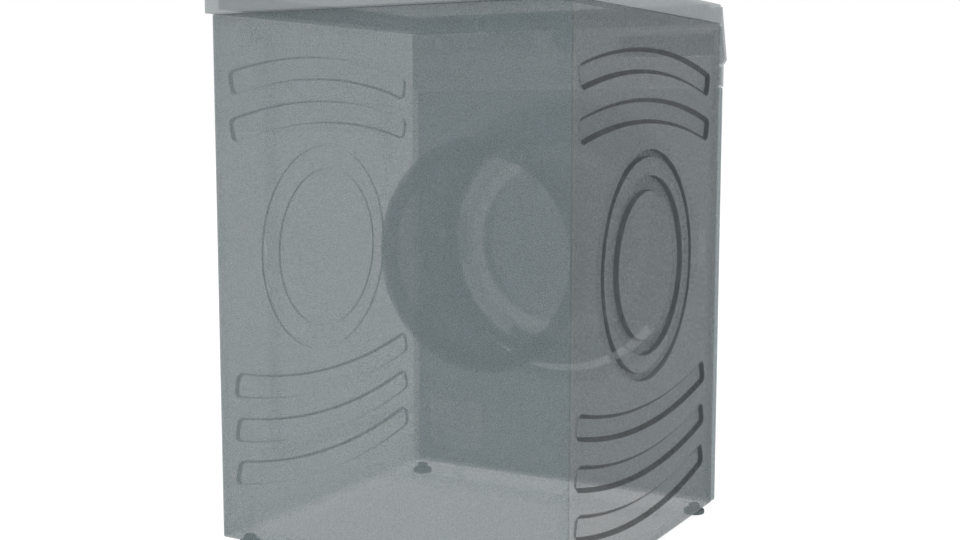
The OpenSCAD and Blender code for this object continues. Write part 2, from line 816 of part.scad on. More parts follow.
module pump_housing() {
  y0 = side_y + 2;
  color(DARK) {
    difference() {
      union() {
        bar_y(pump_x, pump_z, 24, y0, -185);
        bar_y(pump_x, pump_z, 30, -190, -158);
        bar_y(pump_x, pump_z, 22, -160, -112);
        block([pump_x - 22, -185, foot_h + sheet + 2], [pump_x + 22, -145, pump_z - 26]);
        translate([pump_x - 45, sump_y, pump_z]) rotate([0, 90, 0]) cylinder(r = 18, h = 30);
        bar_z(pump_x, sump_y, 9, pump_z + 20, pump_z + 42);
      }
      bar_y(pump_x, pump_z, 20.4, y0 - 1, -188);
      bar_y(pump_x, pump_z, 26, -190, -162);
      bar_y(pump_x, pump_z, 2 + run, -163, -150);
      translate([pump_x - 46, sump_y, pump_z]) rotate([0, 90, 0]) cylinder(r = 15, h = 40);
      bar_z(pump_x, sump_y, 6.5, pump_z, pump_z + 43);
    }
  }
}

module pump_impeller() {
  color(PALE) {
    bar_y(pump_x, pump_z, 2, -186, -152);
    bar_y(pump_x, pump_z, 5, -186, -166);
    for (i = [0 : 3]) translate([pump_x, -184, pump_z]) rotate([0, i * 90, 0]) translate([0, 0, -1])
      cube([22, 17, 2]);
  }
}

module pump_filter() {
  y0 = side_y - 4;
  color(PALE) difference() {
    union() {
      bar_y(pump_x, pump_z, 26, y0 - 1, side_y + 1.5);
      bar_y(pump_x, pump_z, 20, side_y + 1, -200);
      block([pump_x - 20, y0 - 10, pump_z - 4], [pump_x + 20, y0, pump_z + 4]);
    }
    bar_y(pump_x, pump_z, 17, side_y + 6, -199);
    for (a = [0, 60, 120]) translate([pump_x, -225, pump_z]) rotate([0, a, 0])
      cube([60, 30, 12], center = true);
  }
}

module filter_flap() {
  color(DARK) {
    block([flap_x0 + 1, front_y, flap_z0 + 1], [flap_x1 - 1, front_y + 2, flap_z1 - 1]);
    for (x = [flap_x0 + 1, flap_x1 - 4]) {
      block([x, front_y + 1, flap_pin_z - 2.5], [x + 3, front_y + 5.5, flap_pin_z + 2.5]);
    }
    translate([flap_x0 - 1.5, flap_pin_y, flap_pin_z]) rotate([0, 90, 0])
      cylinder(r = 1.5, h = flap_x1 - flap_x0 + 3);
  }
}

// a quarter bend of a hose, swung in the plane of its two directions
module bend(r_bend, r_hose) {
  rotate_extrude(angle = 90) translate([r_bend, 0]) circle(r = r_hose);
}

module sump_route(r) {
  bend_r = 30;
  bar_z(sump_x, sump_y, r, pump_z + bend_r, axis_z - tub_r - 12.3);
  translate([sump_x + bend_r, sump_y, pump_z + bend_r]) rotate([-90, 0, 0]) rotate(90) bend(bend_r, r);
  translate([sump_x + bend_r, sump_y, pump_z]) rotate([0, 90, 0])
    cylinder(r = r, h = pump_x - 45.3 - sump_x - bend_r);
}

module sump_hose() {
  color(DEEP) difference() {
    union() {
      sump_route(19);
      for (i = [0 : 5]) bar_z(sump_x, sump_y, 22, 140 + i * 14, 147 + i * 14);
    }
    sump_route(16);
  }
}

drain_bend = 25;
drain_run_z = pump_z + 42.3 + drain_bend;
drain_rise_y = 258;

module drain_route(r) {
  x = pump_x;
  translate([x, sump_y + drain_bend, pump_z + 42.3]) rotate([90, 0, 90]) rotate(90) bend(drain_bend, r);
  bar_y(x, drain_run_z, r, sump_y + drain_bend, drain_rise_y - drain_bend);
  translate([x, drain_rise_y - drain_bend, drain_run_z + drain_bend]) rotate([90, 0, 90])
    rotate(-90) bend(drain_bend, r);
  bar_z(x, drain_rise_y, r, drain_run_z + drain_bend, drain_out_z);
}

module drain_hose() {
  color(DEEP) difference() {
    union() {
      drain_route(10);
      translate([pump_x, drain_rise_y, drain_out_z]) sphere(r = 13);
      bar_y(pump_x, drain_out_z, 10, drain_rise_y, rear_y + 16);
      bar_y(pump_x, drain_out_z, 14, rear_y, rear_y + 3);
    }
    drain_route(7.5);
    bar_y(pump_x, drain_out_z, 7.5, drain_rise_y, rear_y + 17);
  }
}

module inlet_valve() {
  color(PALE) {
    block([valve_x - 18, rear_y - 52, valve_z - 18], [valve_x + 18, rear_y - 2.5, valve_z + 18]);
    bar_z(valve_x, rear_y - 34, 15, valve_z - 48, valve_z - 17);
    bar_y(valve_x, valve_z, 9, rear_y - 62, rear_y - 50);
    difference() {
      union() {
        bar_y(valve_x, valve_z, 13.5, rear_y - 3, rear_y + 1);
        bar_y(valve_x, valve_z, 17, rear_y, rear_y + 3);
        bar_y(valve_x, valve_z, 13, rear_y + 2, rear_y + 17);
      }
      bar_y(valve_x, valve_z, 9, rear_y - 1, rear_y + 18);
    }
  }
}

module inlet_hose() {
  color(DEEP) difference() {
    bar_y(valve_x, valve_z, 11, -61.9, rear_y - 53);
    bar_y(valve_x, valve_z, 9, -63, rear_y - 50);
  }
}

module mains_gland() {
  color(DEEP) difference() {
    union() {
      bar_y(gland_x, gland_z, 9, rear_y - 8, rear_y + 8);
      bar_y(gland_x, gland_z, 13, rear_y, rear_y + 5);
      bar_y(gland_x, gland_z, 12, rear_y - 8, rear_y - 2.5);
      block([gland_x - 14, rear_y - 34, gland_z - 12], [gland_x + 14, rear_y - 8, gland_z + 12]);
    }
    bar_y(gland_x, gland_z, 4, rear_y - 20, rear_y + 9);
  }
}

// ---- drawing ----

side_panel_left();
side_panel_right();
rear_panel();
front_panel();
front_top_rail();
base_frame();
suspension_crossbars();
top_frame();
top_board();
control_fascia();
fascia_trim();
foot_front_left();
foot_front_right();
foot_rear_left();
foot_rear_right();
foot_locknuts();
door_ring();
door_inner_ring();
door_glass();
door_handle();
door_latch();
door_hinge_bracket();
door_hinge_pin();
door_lock();
door_gasket();
tub_front_half();
tub_rear_half();
tub_bolts();
bearing_front();
bearing_rear();
shaft_seal();
counterweight_front();
counterweight_top();
heater();
motor_stator();
damper_rods();
drum();
drum_lifters();
drum_spider();
motor_rotor();
suspension_springs();
damper_cylinders();
pump_housing();
pump_impeller();
pump_filter();
filter_flap();
sump_hose();
drain_hose();
inlet_valve();
inlet_hose();
dispenser_housing();
detergent_drawer();
dispenser_hose();
control_board();
display_window();
programme_knob();
start_button();
option_button_left();
option_button_right();
mains_gland();
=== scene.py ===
import json
import math

import bmesh
import bpy
from mathutils import Matrix, Vector
from mathutils.geometry import delaunay_2d_cdt
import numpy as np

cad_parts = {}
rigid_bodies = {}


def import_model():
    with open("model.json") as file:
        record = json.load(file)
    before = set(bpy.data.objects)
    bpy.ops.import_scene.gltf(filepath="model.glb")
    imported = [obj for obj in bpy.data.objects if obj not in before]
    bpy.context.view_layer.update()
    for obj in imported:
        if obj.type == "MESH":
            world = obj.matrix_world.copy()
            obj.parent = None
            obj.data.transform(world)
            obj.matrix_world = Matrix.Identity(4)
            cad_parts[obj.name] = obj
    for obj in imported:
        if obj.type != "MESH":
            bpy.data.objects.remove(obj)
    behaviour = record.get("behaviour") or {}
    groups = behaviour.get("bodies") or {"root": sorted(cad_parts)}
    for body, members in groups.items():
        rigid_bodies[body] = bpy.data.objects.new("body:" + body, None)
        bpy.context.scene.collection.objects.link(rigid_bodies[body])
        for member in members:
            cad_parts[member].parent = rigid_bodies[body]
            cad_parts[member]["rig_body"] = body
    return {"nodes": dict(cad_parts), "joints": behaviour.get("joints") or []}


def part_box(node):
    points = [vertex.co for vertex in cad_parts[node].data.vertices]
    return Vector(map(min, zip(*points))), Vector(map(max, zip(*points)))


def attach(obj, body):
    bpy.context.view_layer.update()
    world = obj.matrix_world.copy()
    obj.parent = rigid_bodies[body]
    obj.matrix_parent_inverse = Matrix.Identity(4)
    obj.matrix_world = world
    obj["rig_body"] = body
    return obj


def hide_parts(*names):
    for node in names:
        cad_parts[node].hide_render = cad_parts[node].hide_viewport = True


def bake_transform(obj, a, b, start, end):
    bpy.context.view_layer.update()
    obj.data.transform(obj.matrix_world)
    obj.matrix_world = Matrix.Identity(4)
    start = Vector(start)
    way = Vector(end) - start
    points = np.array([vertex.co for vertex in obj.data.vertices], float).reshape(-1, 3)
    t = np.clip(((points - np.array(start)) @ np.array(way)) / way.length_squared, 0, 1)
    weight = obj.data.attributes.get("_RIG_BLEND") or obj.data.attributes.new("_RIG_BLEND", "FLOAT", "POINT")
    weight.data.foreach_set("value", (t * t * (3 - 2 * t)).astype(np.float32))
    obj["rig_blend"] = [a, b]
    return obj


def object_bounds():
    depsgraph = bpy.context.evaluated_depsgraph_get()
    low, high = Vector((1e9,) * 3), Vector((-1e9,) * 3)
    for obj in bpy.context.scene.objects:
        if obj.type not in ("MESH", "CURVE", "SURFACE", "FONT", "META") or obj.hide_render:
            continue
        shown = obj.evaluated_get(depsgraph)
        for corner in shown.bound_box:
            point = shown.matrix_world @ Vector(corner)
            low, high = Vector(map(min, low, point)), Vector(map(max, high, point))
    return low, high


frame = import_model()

CAD_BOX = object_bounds()
NODES = frame["nodes"]
JOINTS = {j["name"]: j for j in frame["joints"]}
SCENE = bpy.context.scene
MM = 0.001

# The photo's viewpoint, in metres and degrees
CAMERA_AT = (-1.0496, 1.8424, 0.6618)
CAMERA_YAW, CAMERA_PITCH = 29.726, 6.399


# -------------------- camera, world, light

def fill(node, values):
    """Sets a node's inputs by name."""
    for key, value in values.items():
        node.inputs[key].default_value = value


def place(name, data):
    """A new object in the scene."""
    obj = bpy.data.objects.new(name, data)
    SCENE.collection.objects.link(obj)
    return obj


def aim(obj, where, direction):
    obj.location = where
    obj.rotation_mode = "QUATERNION"
    obj.rotation_quaternion = direction.to_track_quat("-Z", "Y")


def make_camera():
    """The photo's viewing angle: from behind, on the left-hand side, a little above the middle."""
    yaw, pitch = math.radians(CAMERA_YAW), math.radians(CAMERA_PITCH)
    forward = Vector((math.sin(yaw) * math.cos(pitch), -math.cos(yaw) * math.cos(pitch), -math.sin(pitch)))
    data = bpy.data.cameras.new("camera")
    data.lens = 50
    data.sensor_width = 36
    data.dof.use_dof = False
    data.clip_start, data.clip_end = 0.05, 200
    SCENE.camera = place("camera", data)
    aim(SCENE.camera, CAMERA_AT, forward)


def make_world():
    """Plain white surroundings, and enough transparent bounces for every see-through sheet."""
    world = bpy.data.worlds.new("studio")
    world.use_nodes = True
    fill(world.node_tree.nodes["Background"], {"Color": (1, 1, 1, 1), "Strength": 1.0})
    SCENE.world = world
    SCENE.view_settings.view_transform = "Standard"
    SCENE.view_settings.look = "None"
    SCENE.cycles.transparent_max_bounces = 96
    SCENE.cycles.max_bounces = 8
    SCENE.cycles.diffuse_bounces = 3


def make_floor(half=60, below=0.0005):
    """A white floor just under the feet, bright enough to have no horizon."""
    floor = build("floor", [(-half, -half, 0), (half, -half, 0), (half, half, 0), (-half, half, 0)], [(0, 1, 2, 3)], [])
    ground = bpy.data.materials.new("floor_white")
    ground.use_nodes = True
    fill(ground.node_tree.nodes["Principled BSDF"],
         {"Base Color": (0.2, 0.2, 0.2, 1), "Roughness": 1.0, "Specular IOR Level": 0.0,
          "Emission Color": (1, 1, 1, 1), "Emission Strength": 0.9})
    floor.data.materials.append(ground)
    floor.location.z = -below
    return floor


def make_light(name, where, target, size, watts):
    """A round soft light, turned to its target."""
    data = bpy.data.lights.new(name, "AREA")
    data.shape = "DISK"
    data.size = size
    data.energy = watts
    data.color = (0.97, 0.99, 1.0)
    aim(place(name, data), where, Vector(target) - Vector(where))


# -------------------- materials

def grey(level, tint=1.0):
    """A neutral grey with the slight blue-green of the photographed finish."""
    return (level * (1 - 0.165 * tint), level * (1 + 0.02 * tint), level * (1 + 0.08 * tint), 1)


class Nodes:
    """Short calls for building one material's nodes."""

    MIX_A, MIX_B, MIX_RESULT = 6, 7, 2  # the colour sockets of a Mix node

    def __init__(self, material):
        self.tree = material.node_tree
        self.shader = self.tree.nodes["Principled BSDF"]
        self.where = self.add("ShaderNodeTexCoord").outputs["Object"]

    def add(self, kind, inputs=None, vector=None, **values):
        """A node with its properties, its inputs' numbers and, if given, the link to its Vector."""
        node = self.tree.nodes.new(kind)
        for key, value in values.items():
            setattr(node, key, value)
        fill(node, inputs or {})
        if vector:
            self.link(vector, node.inputs["Vector"])
        return node

    def link(self, a, b):
        self.tree.links.new(a, b)

    def stretched(self, scale):
        return self.add("ShaderNodeMapping", {"Scale": scale}, self.where).outputs["Vector"]

    def noise(self, scale, detail=2.0, rough=0.5, vector=None):
        values = {"Scale": scale, "Detail": detail, "Roughness": rough}
        return self.add("ShaderNodeTexNoise", values, vector or self.where).outputs["Fac"]

    def cells(self, scale, feature="F1", out="Distance"):
        return self.add("ShaderNodeTexVoronoi", {"Scale": scale}, self.where, feature=feature).outputs[out]

    def spread(self, value, low, high, start=0.3, end=0.7):
        """Maps the range from start to end onto low to high."""
        node = self.add("ShaderNodeMapRange", {"From Min": start, "From Max": end, "To Min": low, "To Max": high})
        self.link(value, node.inputs["Value"])
        return node.outputs["Result"]

    def mix(self, factor, a, b):
        node = self.add("ShaderNodeMix", data_type="RGBA")
        self.link(factor, node.inputs["Factor"])
        for value, socket in ((a, node.inputs[self.MIX_A]), (b, node.inputs[self.MIX_B])):
            if isinstance(value, tuple):
                socket.default_value = value
            else:
                self.link(value, socket)
        return node.outputs[self.MIX_RESULT]

    def bump(self, height, strength, distance):
        node = self.add("ShaderNodeBump", {"Strength": strength, "Distance": distance})
        self.link(height, node.inputs["Height"])
        self.link(node.outputs["Normal"], self.shader.inputs["Normal"])


def material(name, level, alpha=1.0, kind="paint", tint=1.0, metallic=0.0, rough=0.5, contrast=0.12):
    """One finish. level is the mean albedo and contrast its fine variation; kind picks the surface's detail."""
    mat = bpy.data.materials.new(name)
    mat.use_nodes = True
    n = Nodes(mat)
    shader = n.shader.inputs
    fill(n.shader, {"Metallic": metallic, "Alpha": alpha, "Specular IOR Level": 0.25})
    dark, light = grey(level * (1 - contrast), tint), grey(level * (1 + contrast), tint)
    broad = n.noise(7.0, 3.0)
    if kind == "paint":
        grain = n.noise(900.0, 1.0, 0.6)
        colour = n.mix(n.spread(grain, 0.0, 1.0, 0.38, 0.62), dark, light)
        colour = n.mix(n.spread(broad, 0.0, 0.22), colour, grey(level * 1.12, tint))
        n.bump(grain, 0.22, 0.0006)
    # edge: the dark, mottled finish laid on pressed walls as painted shade
    elif kind == "edge":
        colour = n.mix(n.spread(n.noise(46.0, 4.0, 0.65), 0.0, 1.0, 0.42, 0.62), dark, light)
        n.bump(n.noise(520.0, 2.0, 0.6), 0.3, 0.0008)
    elif kind == "zinc":
        spangle = n.cells(95.0, out="Color")
        tone = n.add("ShaderNodeRGBToBW")
        n.link(spangle, tone.inputs["Color"])
        colour = n.mix(tone.outputs["Val"], dark, light)
        n.bump(n.noise(900.0, 2.0), 0.12, 0.0004)
    elif kind == "brushed":
        grain = n.noise(1.0, 3.0, 0.6, n.stretched((40.0, 900.0, 40.0)))
        colour = n.mix(n.spread(grain, 0.0, 1.0), dark, light)
        n.bump(grain, 0.2, 0.0004)
    elif kind == "turned":
        wave = n.add("ShaderNodeTexWave", {"Scale": 130.0, "Distortion": 1.5}, n.where,
                     wave_type="RINGS", rings_direction="Y").outputs["Fac"]
        colour = n.mix(wave, dark, light)
        n.bump(wave, 0.1, 0.0003)
    elif kind == "wire":
        wave = n.add("ShaderNodeTexWave", {"Scale": 260.0}, n.where,
                     wave_type="BANDS", bands_direction="Y").outputs["Fac"]
        colour = n.mix(wave, dark, light)
        n.bump(wave, 0.6, 0.0008)
    elif kind == "stone":
        grain = n.cells(240.0)
        pores = n.noise(85.0, 6.0, 0.7)
        colour = n.mix(n.spread(grain, 0.0, 1.0, 0.1, 0.6), dark, light)
        colour = n.mix(n.spread(pores, 0.0, 0.5, 0.5, 0.7), colour, grey(level * 0.72, 0.3))
        n.bump(pores, 0.5, 0.002)
    elif kind == "rubber":
        colour = n.mix(n.spread(n.noise(38.0, 5.0, 0.6), 0.0, 1.0, 0.35, 0.7), dark, light)
        n.bump(n.noise(1100.0, 2.0, 0.7), 0.25, 0.0005)
    elif kind == "board":
        traces = n.cells(210.0, feature="DISTANCE_TO_EDGE")
        green = (level * 0.75, level * 1.15, level * 0.95, 1)
        colour = n.mix(n.spread(traces, 1.0, 0.0, 0.02, 0.05), green, light)
        n.bump(traces, 0.3, 0.0004)
    else:
        grain = n.noise(430.0, 3.0, 0.55)
        colour = n.mix(n.spread(grain, 0.0, 1.0, 0.38, 0.62), dark, light)
        colour = n.mix(n.spread(broad, 0.0, 0.25), colour, grey(level * 0.9, tint))
        n.bump(grain, 0.15, 0.0005)
    n.link(colour, shader["Base Color"])
    n.link(n.spread(n.noise(150.0, 4.0), max(rough - 0.12, 0.02), min(rough + 0.12, 1.0)), shader["Roughness"])
    if kind == "glass":
        fill(n.shader, {"IOR": 1.5, "Coat Weight": 0.4})
    return mat


# One entry for each finish: level, alpha, kind and the rest of material()'s values.
# A closed sheet is seen through twice, so it lets (1 - alpha) squared of the light behind it through.
REAR = material("rear_sheet_paint", 0.19, 0.578, rough=0.55, contrast=0.5)
NEAR = material("side_sheet_paint", 0.165, 0.57, rough=0.55, contrast=0.45, tint=0.7)
# The pressed-wall finishes below are dark: painted shade on the walls of the ribs and of the round pressing.
PRESSED_WALL_SHADE = material("side_pressed_wall_painted_shade", 0.05, 0.80, "edge")
ROUND_WALL_SHADE = material("side_round_wall_painted_shade", 0.11, 0.52, "edge")
# The far side sheet is the same steel paint as the near one, made much lighter: painted light.
FAR_PAINTED_LIGHT = material("far_side_paint_painted_light", 0.40, 0.20, rough=0.55, contrast=0.2)
FAR_WALL_SHADE = material("far_side_wall_painted_shade", 0.08, 0.6, "edge")
HEM = material("side_folded_hem", 0.3, 0.04)
# The front sheet is the steel paint made lighter to make up for the dim light inside the cabinet: painted light.
FRONT_PAINTED_LIGHT = material("front_sheet_paint_painted_light", 0.30, 0.62, contrast=0.2)
# The dish finish is pale and almost clear; on the bottom arc of the dish wall it is a painted highlight.
DISH_CLEAR_AND_HIGHLIGHT = material("front_dish_clear_and_painted_highlight", 0.5, 0.04)
FRONT_HEM = material("front_folded_hem", 0.3, 0.35)
LID = material("worktop_rim_laminate", 0.33, 0.62, rough=0.45, tint=0.5)
BOARD = material("worktop_laminate", 0.2, 0.35, "plastic", rough=0.4)
FASCIA = material("fascia_plastic_grey", 0.22, 0.5, "plastic", rough=0.4)
DOOR = material("door_plastic_grey", 0.32, 0.20, "plastic", rough=0.35)
INNER = material("door_inner_plastic", 0.5, 0.10, "plastic", rough=0.4)
GLASS = material("door_bowl_glass_clear", 0.46, 0.50, "glass", rough=0.08)
SCREEN = material("display_smoked_glass", 0.06, 0.5, "glass", rough=0.1)
ZINC = material("zinc_plated_steel", 0.5, 0.06, "zinc", metallic=0.2, rough=0.45)
RAIL = material("zinc_plated_rail", 0.55, 0.04, "zinc", metallic=0.2, rough=0.45)
DRUM = material("drum_stainless", 0.34, 0.07, "brushed", metallic=0.2, rough=0.35)
TUB = material("tub_plastic_grey", 0.30, 0.40, "plastic", rough=0.6)
# Three darker copies of the tub plastic: painted shade on the ring at the tub's rear end, deepening towards -x.
TUB_SHADE_SLIGHT = material("tub_plastic_painted_shade_slight", 0.28, 0.45, "plastic", rough=0.6)
TUB_SHADE_MORE = material("tub_plastic_painted_shade_more", 0.20, 0.47, "plastic", rough=0.6)
TUB_SHADE_MOST = material("tub_plastic_painted_shade_most", 0.13, 0.50, "plastic", rough=0.6)
FAINT = material("tub_wall_middle", 0.55, 0.025, "plastic", rough=0.6)
WHITE = material("white_plastic_pale", 0.6, 0.04, "plastic")
DARK = material("dark_plastic_part", 0.45, 0.04, "plastic", rough=0.55)
HOSE = material("hose_rubber_grey", 0.55, 0.04, "rubber", rough=0.8)
SEAL = material("gasket_rubber_grey", 0.5, 0.04, "rubber", rough=0.7)
FITTING = material("rear_fitting_plastic", 0.5, 0.04, "plastic")
FOOT = material("foot_plastic_grey", 0.13, 0.9, "plastic", rough=0.65)
STONE = material("concrete_weight", 0.55, 0.025, "stone", rough=0.95)
MOTOR = material("motor_steel_plate", 0.55, 0.025, "turned", metallic=0.2, rough=0.4)
COPPER = material("winding_wire", 0.5, 0.03, "wire", tint=-0.6, rough=0.4)
PCB = material("circuit_board_green", 0.3, 0.10, "board")
KNOB = material("knob_plastic_pale", 0.3, 0.4, "plastic", rough=0.35)


# -------------------- mesh helpers

def smooth(obj, degrees=38):
    obj.data.polygons.foreach_set("use_smooth", [True] * len(obj.data.polygons))
    obj.data.set_sharp_from_angle(angle=math.radians(degrees))


def bake(obj):
    """Puts the result of the object's modifiers into its mesh and clears them."""
    graph = bpy.context.evaluated_depsgraph_get()
    made = bpy.data.meshes.new_from_object(obj.evaluated_get(graph))
    obj.modifiers.clear()
    old = obj.data
    obj.data = made
    bpy.data.meshes.remove(old)


def tidy_normals(obj, outward=None):
    """Makes the faces agree; outward says which way the object's largest face looks."""
    work = bmesh.new()
    work.from_mesh(obj.data)
    bmesh.ops.recalc_face_normals(work, faces=work.faces)
    if outward is not None:
        work.normal_update()
        flat = max(work.faces, key=lambda f: f.calc_area())
        if flat.normal.dot(Vector(outward)) < 0:
            bmesh.ops.reverse_faces(work, faces=work.faces)
    work.to_mesh(obj.data)
    work.free()


def build(name, verts, faces, mats, index=None):
    """A mesh object; index gives each face's place in mats."""
    mesh = bpy.data.meshes.new(name)
    mesh.from_pydata(verts, [], faces)
    for mat in mats:
        mesh.materials.append(mat)
    if index:
        mesh.polygons.foreach_set("material_index", index)
    mesh.validate()
    return place(name, mesh)


def solid(name, verts, faces, mats, index=None, sharp=38):
    """build() for a closed form, with its faces turned outward and smoothed."""
    obj = build(name, verts, faces, mats, index)
    tidy_normals(obj)
    smooth(obj, sharp)
    return obj


def band(a, b):
    """The quads between two closed loops of vertex numbers."""
    n = len(a)
    return [(a[k], a[(k + 1) % n], b[(k + 1) % n], b[k]) for k in range(n)]


def join(name, parts):
    """One object out of several meshes, all in place already."""
    work = bmesh.new()
    mats = []
    for part in parts:
        start = len(work.faces)
        work.from_mesh(part.data)
        work.faces.ensure_lookup_table()
        where = []
        for mat in part.data.materials:
            if mat not in mats:
                mats.append(mat)
            where.append(mats.index(mat))
        for face in work.faces[start:]:
            face.material_index = where[face.material_index]
        bpy.data.objects.remove(part)
    mesh = bpy.data.meshes.new(name)
    work.to_mesh(mesh)
    work.free()
    for mat in mats:
        mesh.materials.append(mat)
    return place(name, mesh)


def own(obj, body, slot, *nodes):
    """obj rides on body and stands for those CAD nodes; slot is not used."""
    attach(obj, body)
    if nodes:
        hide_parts(*nodes)
    return obj


def body_of(node):
    return NODES[node]["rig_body"]


def second_finish(obj, mat, chosen):
    """Gives mat to the faces whose centre passes chosen(radius from the drum's axis, centre), both in metres."""
    obj.data.materials.append(mat)
    slot = len(obj.data.materials) - 1
    for face in obj.data.polygons:
        x, _, z = face.center
        if chosen(math.hypot(x, z - AXIS_Z), face.center):
            face.material_index = slot


def refine(node, mat, slot, width, sharp=38, segments=2):
    """A copy of a CAD node with its flat faces merged and its sharp edges rounded, width in mm."""
    mesh = NODES[node].data.copy()
    mesh.materials.clear()
    mesh.materials.append(mat)
    obj = place(node + "_finished", mesh)
    work = bmesh.new()
    work.from_mesh(mesh)
    bmesh.ops.remove_doubles(work, verts=work.verts, dist=1e-6)
    bmesh.ops.dissolve_limit(work, angle_limit=math.radians(0.6), verts=work.verts, edges=work.edges)
    work.to_mesh(mesh)
    work.free()
    for attribute in [a.name for a in mesh.attributes if a.name in ("custom_normal", "sharp_edge")]:
        mesh.attributes.remove(mesh.attributes[attribute])
    bevel = obj.modifiers.new("rounding", "BEVEL")
    bevel.width = width * MM
    bevel.segments = segments
    bevel.limit_method = "ANGLE"
    bevel.angle_limit = math.radians(sharp)
    bevel.use_clamp_overlap = False
    bevel.miter_outer = "MITER_ARC"
    bake(obj)
    smooth(obj)
    return own(obj, body_of(node), slot, node)


def turn(name, profile, mats, axis, count=96, closed=True, pick=None, flute=None):
    """A solid of revolution: profile is (radius, height) in mm, axis puts local Z on the real axis.
    pick(k) gives the finish of the band from the profile's point k to the next.
    flute = (number, depth, lowest, highest) cuts shallow flutes into that range of heights."""
    verts, rows, faces, index = [], [], [], []
    for r, h in profile:
        if r < 1e-6:
            rows.append([len(verts)])
            verts.append(axis @ Vector((0, 0, h * MM)))
            continue
        rows.append(range(len(verts), len(verts) + count))
        for i in range(count):
            a = 2 * math.pi * i / count
            cut = r
            if flute:
                number, depth, lowest, highest = flute
                if lowest <= h <= highest:
                    cut -= depth * (0.5 + 0.5 * math.cos(number * a)) ** 2
            verts.append(axis @ Vector((cut * math.cos(a) * MM, cut * math.sin(a) * MM, h * MM)))
    pairs = list(zip(rows, rows[1:]))
    if closed:
        pairs.append((rows[-1], rows[0]))
    for k, (a, b) in enumerate(pairs):
        if len(a) == 1 and len(b) == 1:
            continue
        if len(a) == 1:
            faces += [(a[0], b[(i + 1) % count], b[i]) for i in range(count)]
        elif len(b) == 1:
            faces += [(a[i], a[(i + 1) % count], b[0]) for i in range(count)]
        else:
            faces += band(a, b)
        index += [pick(k) if pick else 0] * count
    return solid(name, verts, faces, mats, index)


def fillet(points, radius, steps=4):
    """Rounds every corner of a closed profile."""
    out, n = [], len(points)
    for i in range(n):
        p, q, r = (Vector(points[(i + k) % n]) for k in (-1, 0, 1))
        a, b = p - q, r - q
        reach = min(radius, a.length * 0.45, b.length * 0.45)
        start, end = q + a.normalized() * reach, q + b.normalized() * reach
        for k in range(steps + 1):
            t = k / steps
            out.append(tuple(start * (1 - t) ** 2 + q * 2 * t * (1 - t) + end * t * t))
    return out


def tube(points, radius, wall=0.0, sides=16):
    """Vertices and faces of a tube along points, in metres. radius is a number or a function of the length so far.
    With a wall it is hollow."""
    points = [Vector(p) for p in points]
    end = len(points) - 1
    tangents = [(points[min(i + 1, end)] - points[max(i - 1, 0)]).normalized() for i in range(end + 1)]
    side = tangents[0].orthogonal().normalized()
    verts, faces, gone = [], [], 0.0
    last = None
    outer, inner = [], []
    for i, (p, t) in enumerate(zip(points, tangents)):
        side = (side - t * side.dot(t)).normalized()
        other = t.cross(side)
        if last is not None:
            gone += (p - last).length
        last = p
        r = radius(gone) if callable(radius) else radius
        for ring, rr in ((outer, r), (inner, r - wall)):
            if ring is inner and not wall:
                continue
            ring.append(range(len(verts), len(verts) + sides))
            for k in range(sides):
                a = 2 * math.pi * k / sides
                verts.append(p + (side * math.cos(a) + other * math.sin(a)) * rr)

    for ring in (outer, inner):
        for a, b in zip(ring, ring[1:]):
            faces += band(a, b)
    if wall:
        faces += band(outer[0], inner[0]) + band(outer[-1], inner[-1])
    else:
        faces += [tuple(outer[0]), tuple(outer[-1])]
    return verts, faces


def tube_object(name, runs, mat, sharp=45):
    """One object out of several tubes; each run is (points, radius, wall, sides)."""
    verts, faces = [], []
    for run in runs:
        v, f = tube(*run)
        base = len(verts)
        verts += v
        faces += [tuple(i + base for i in face) for face in f]
    return solid(name, verts, faces, [mat], sharp=sharp)


def arc(centre, a, b, radius, start, end, steps):
    """Points of an arc about centre in the plane of directions a and b, angles in degrees."""
    out = []
    for k in range(steps + 1):
        t = math.radians(start + (end - start) * k / steps)
        out.append(Vector(centre) + (Vector(a) * math.cos(t) + Vector(b) * math.sin(t)) * radius)
    return out


def line(a, b, steps):
    """Points of a straight run."""
    a, b = Vector(a), Vector(b)
    return [a + (b - a) * (k / steps) for k in range(steps + 1)]


def route(*parts):
    """Joins runs of points and leaves out the repeats."""
    out = []
    for part in parts:
        for p in part:
            if not out or (p - out[-1]).length > 1e-6:
                out.append(p)
    return out


# -------------------- places, read off the CAD frame

DRUM_LO, DRUM_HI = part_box("drum")
AXIS_Z = (DRUM_LO.z + DRUM_HI.z) / 2
ABOUT_DRUM = Matrix.Translation((0, 0, AXIS_Z)) @ Matrix.Rotation(-math.pi / 2, 4, "X")
HALF_W = CAD_BOX[1].x
# The fascia leans back: the start button is pressed square to it
LEAN = math.asin(-Vector(JOINTS["start_press"]["axis"]).z)


def middle(node):
    lo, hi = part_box(node)
    return (lo + hi) / 2


def out_of_fascia(where):
    """Local Z points out of the leaning fascia at that place."""
    return Matrix.Translation(where) @ Matrix.Rotation(math.pi / 2 - LEAN, 4, "X")


# -------------------- pressed sheet panels

def rounded_rect(a0, b0, a1, b1, radius, inset=0.0, steps=6):
    """A rounded rectangle's points, counter-clockwise; inset moves every side in."""
    a0, b0, a1, b1 = a0 + inset, b0 + inset, a1 - inset, b1 - inset
    r = max(radius - inset, 0.3 * MM)
    out = []
    for ca, cb, start in ((a1 - r, b1 - r, 0), (a0 + r, b1 - r, 90), (a0 + r, b0 + r, 180), (a1 - r, b0 + r, 270)):
        for k in range(steps + 1):
            t = math.radians(start + 90 * k / steps)
            out.append((ca + r * math.cos(t), cb + r * math.sin(t)))
    return out


def circle(a, b, radius, count=96):
    return [(a + radius * math.cos(2 * math.pi * k / count), b + radius * math.sin(2 * math.pi * k / count))
            for k in range(count)]


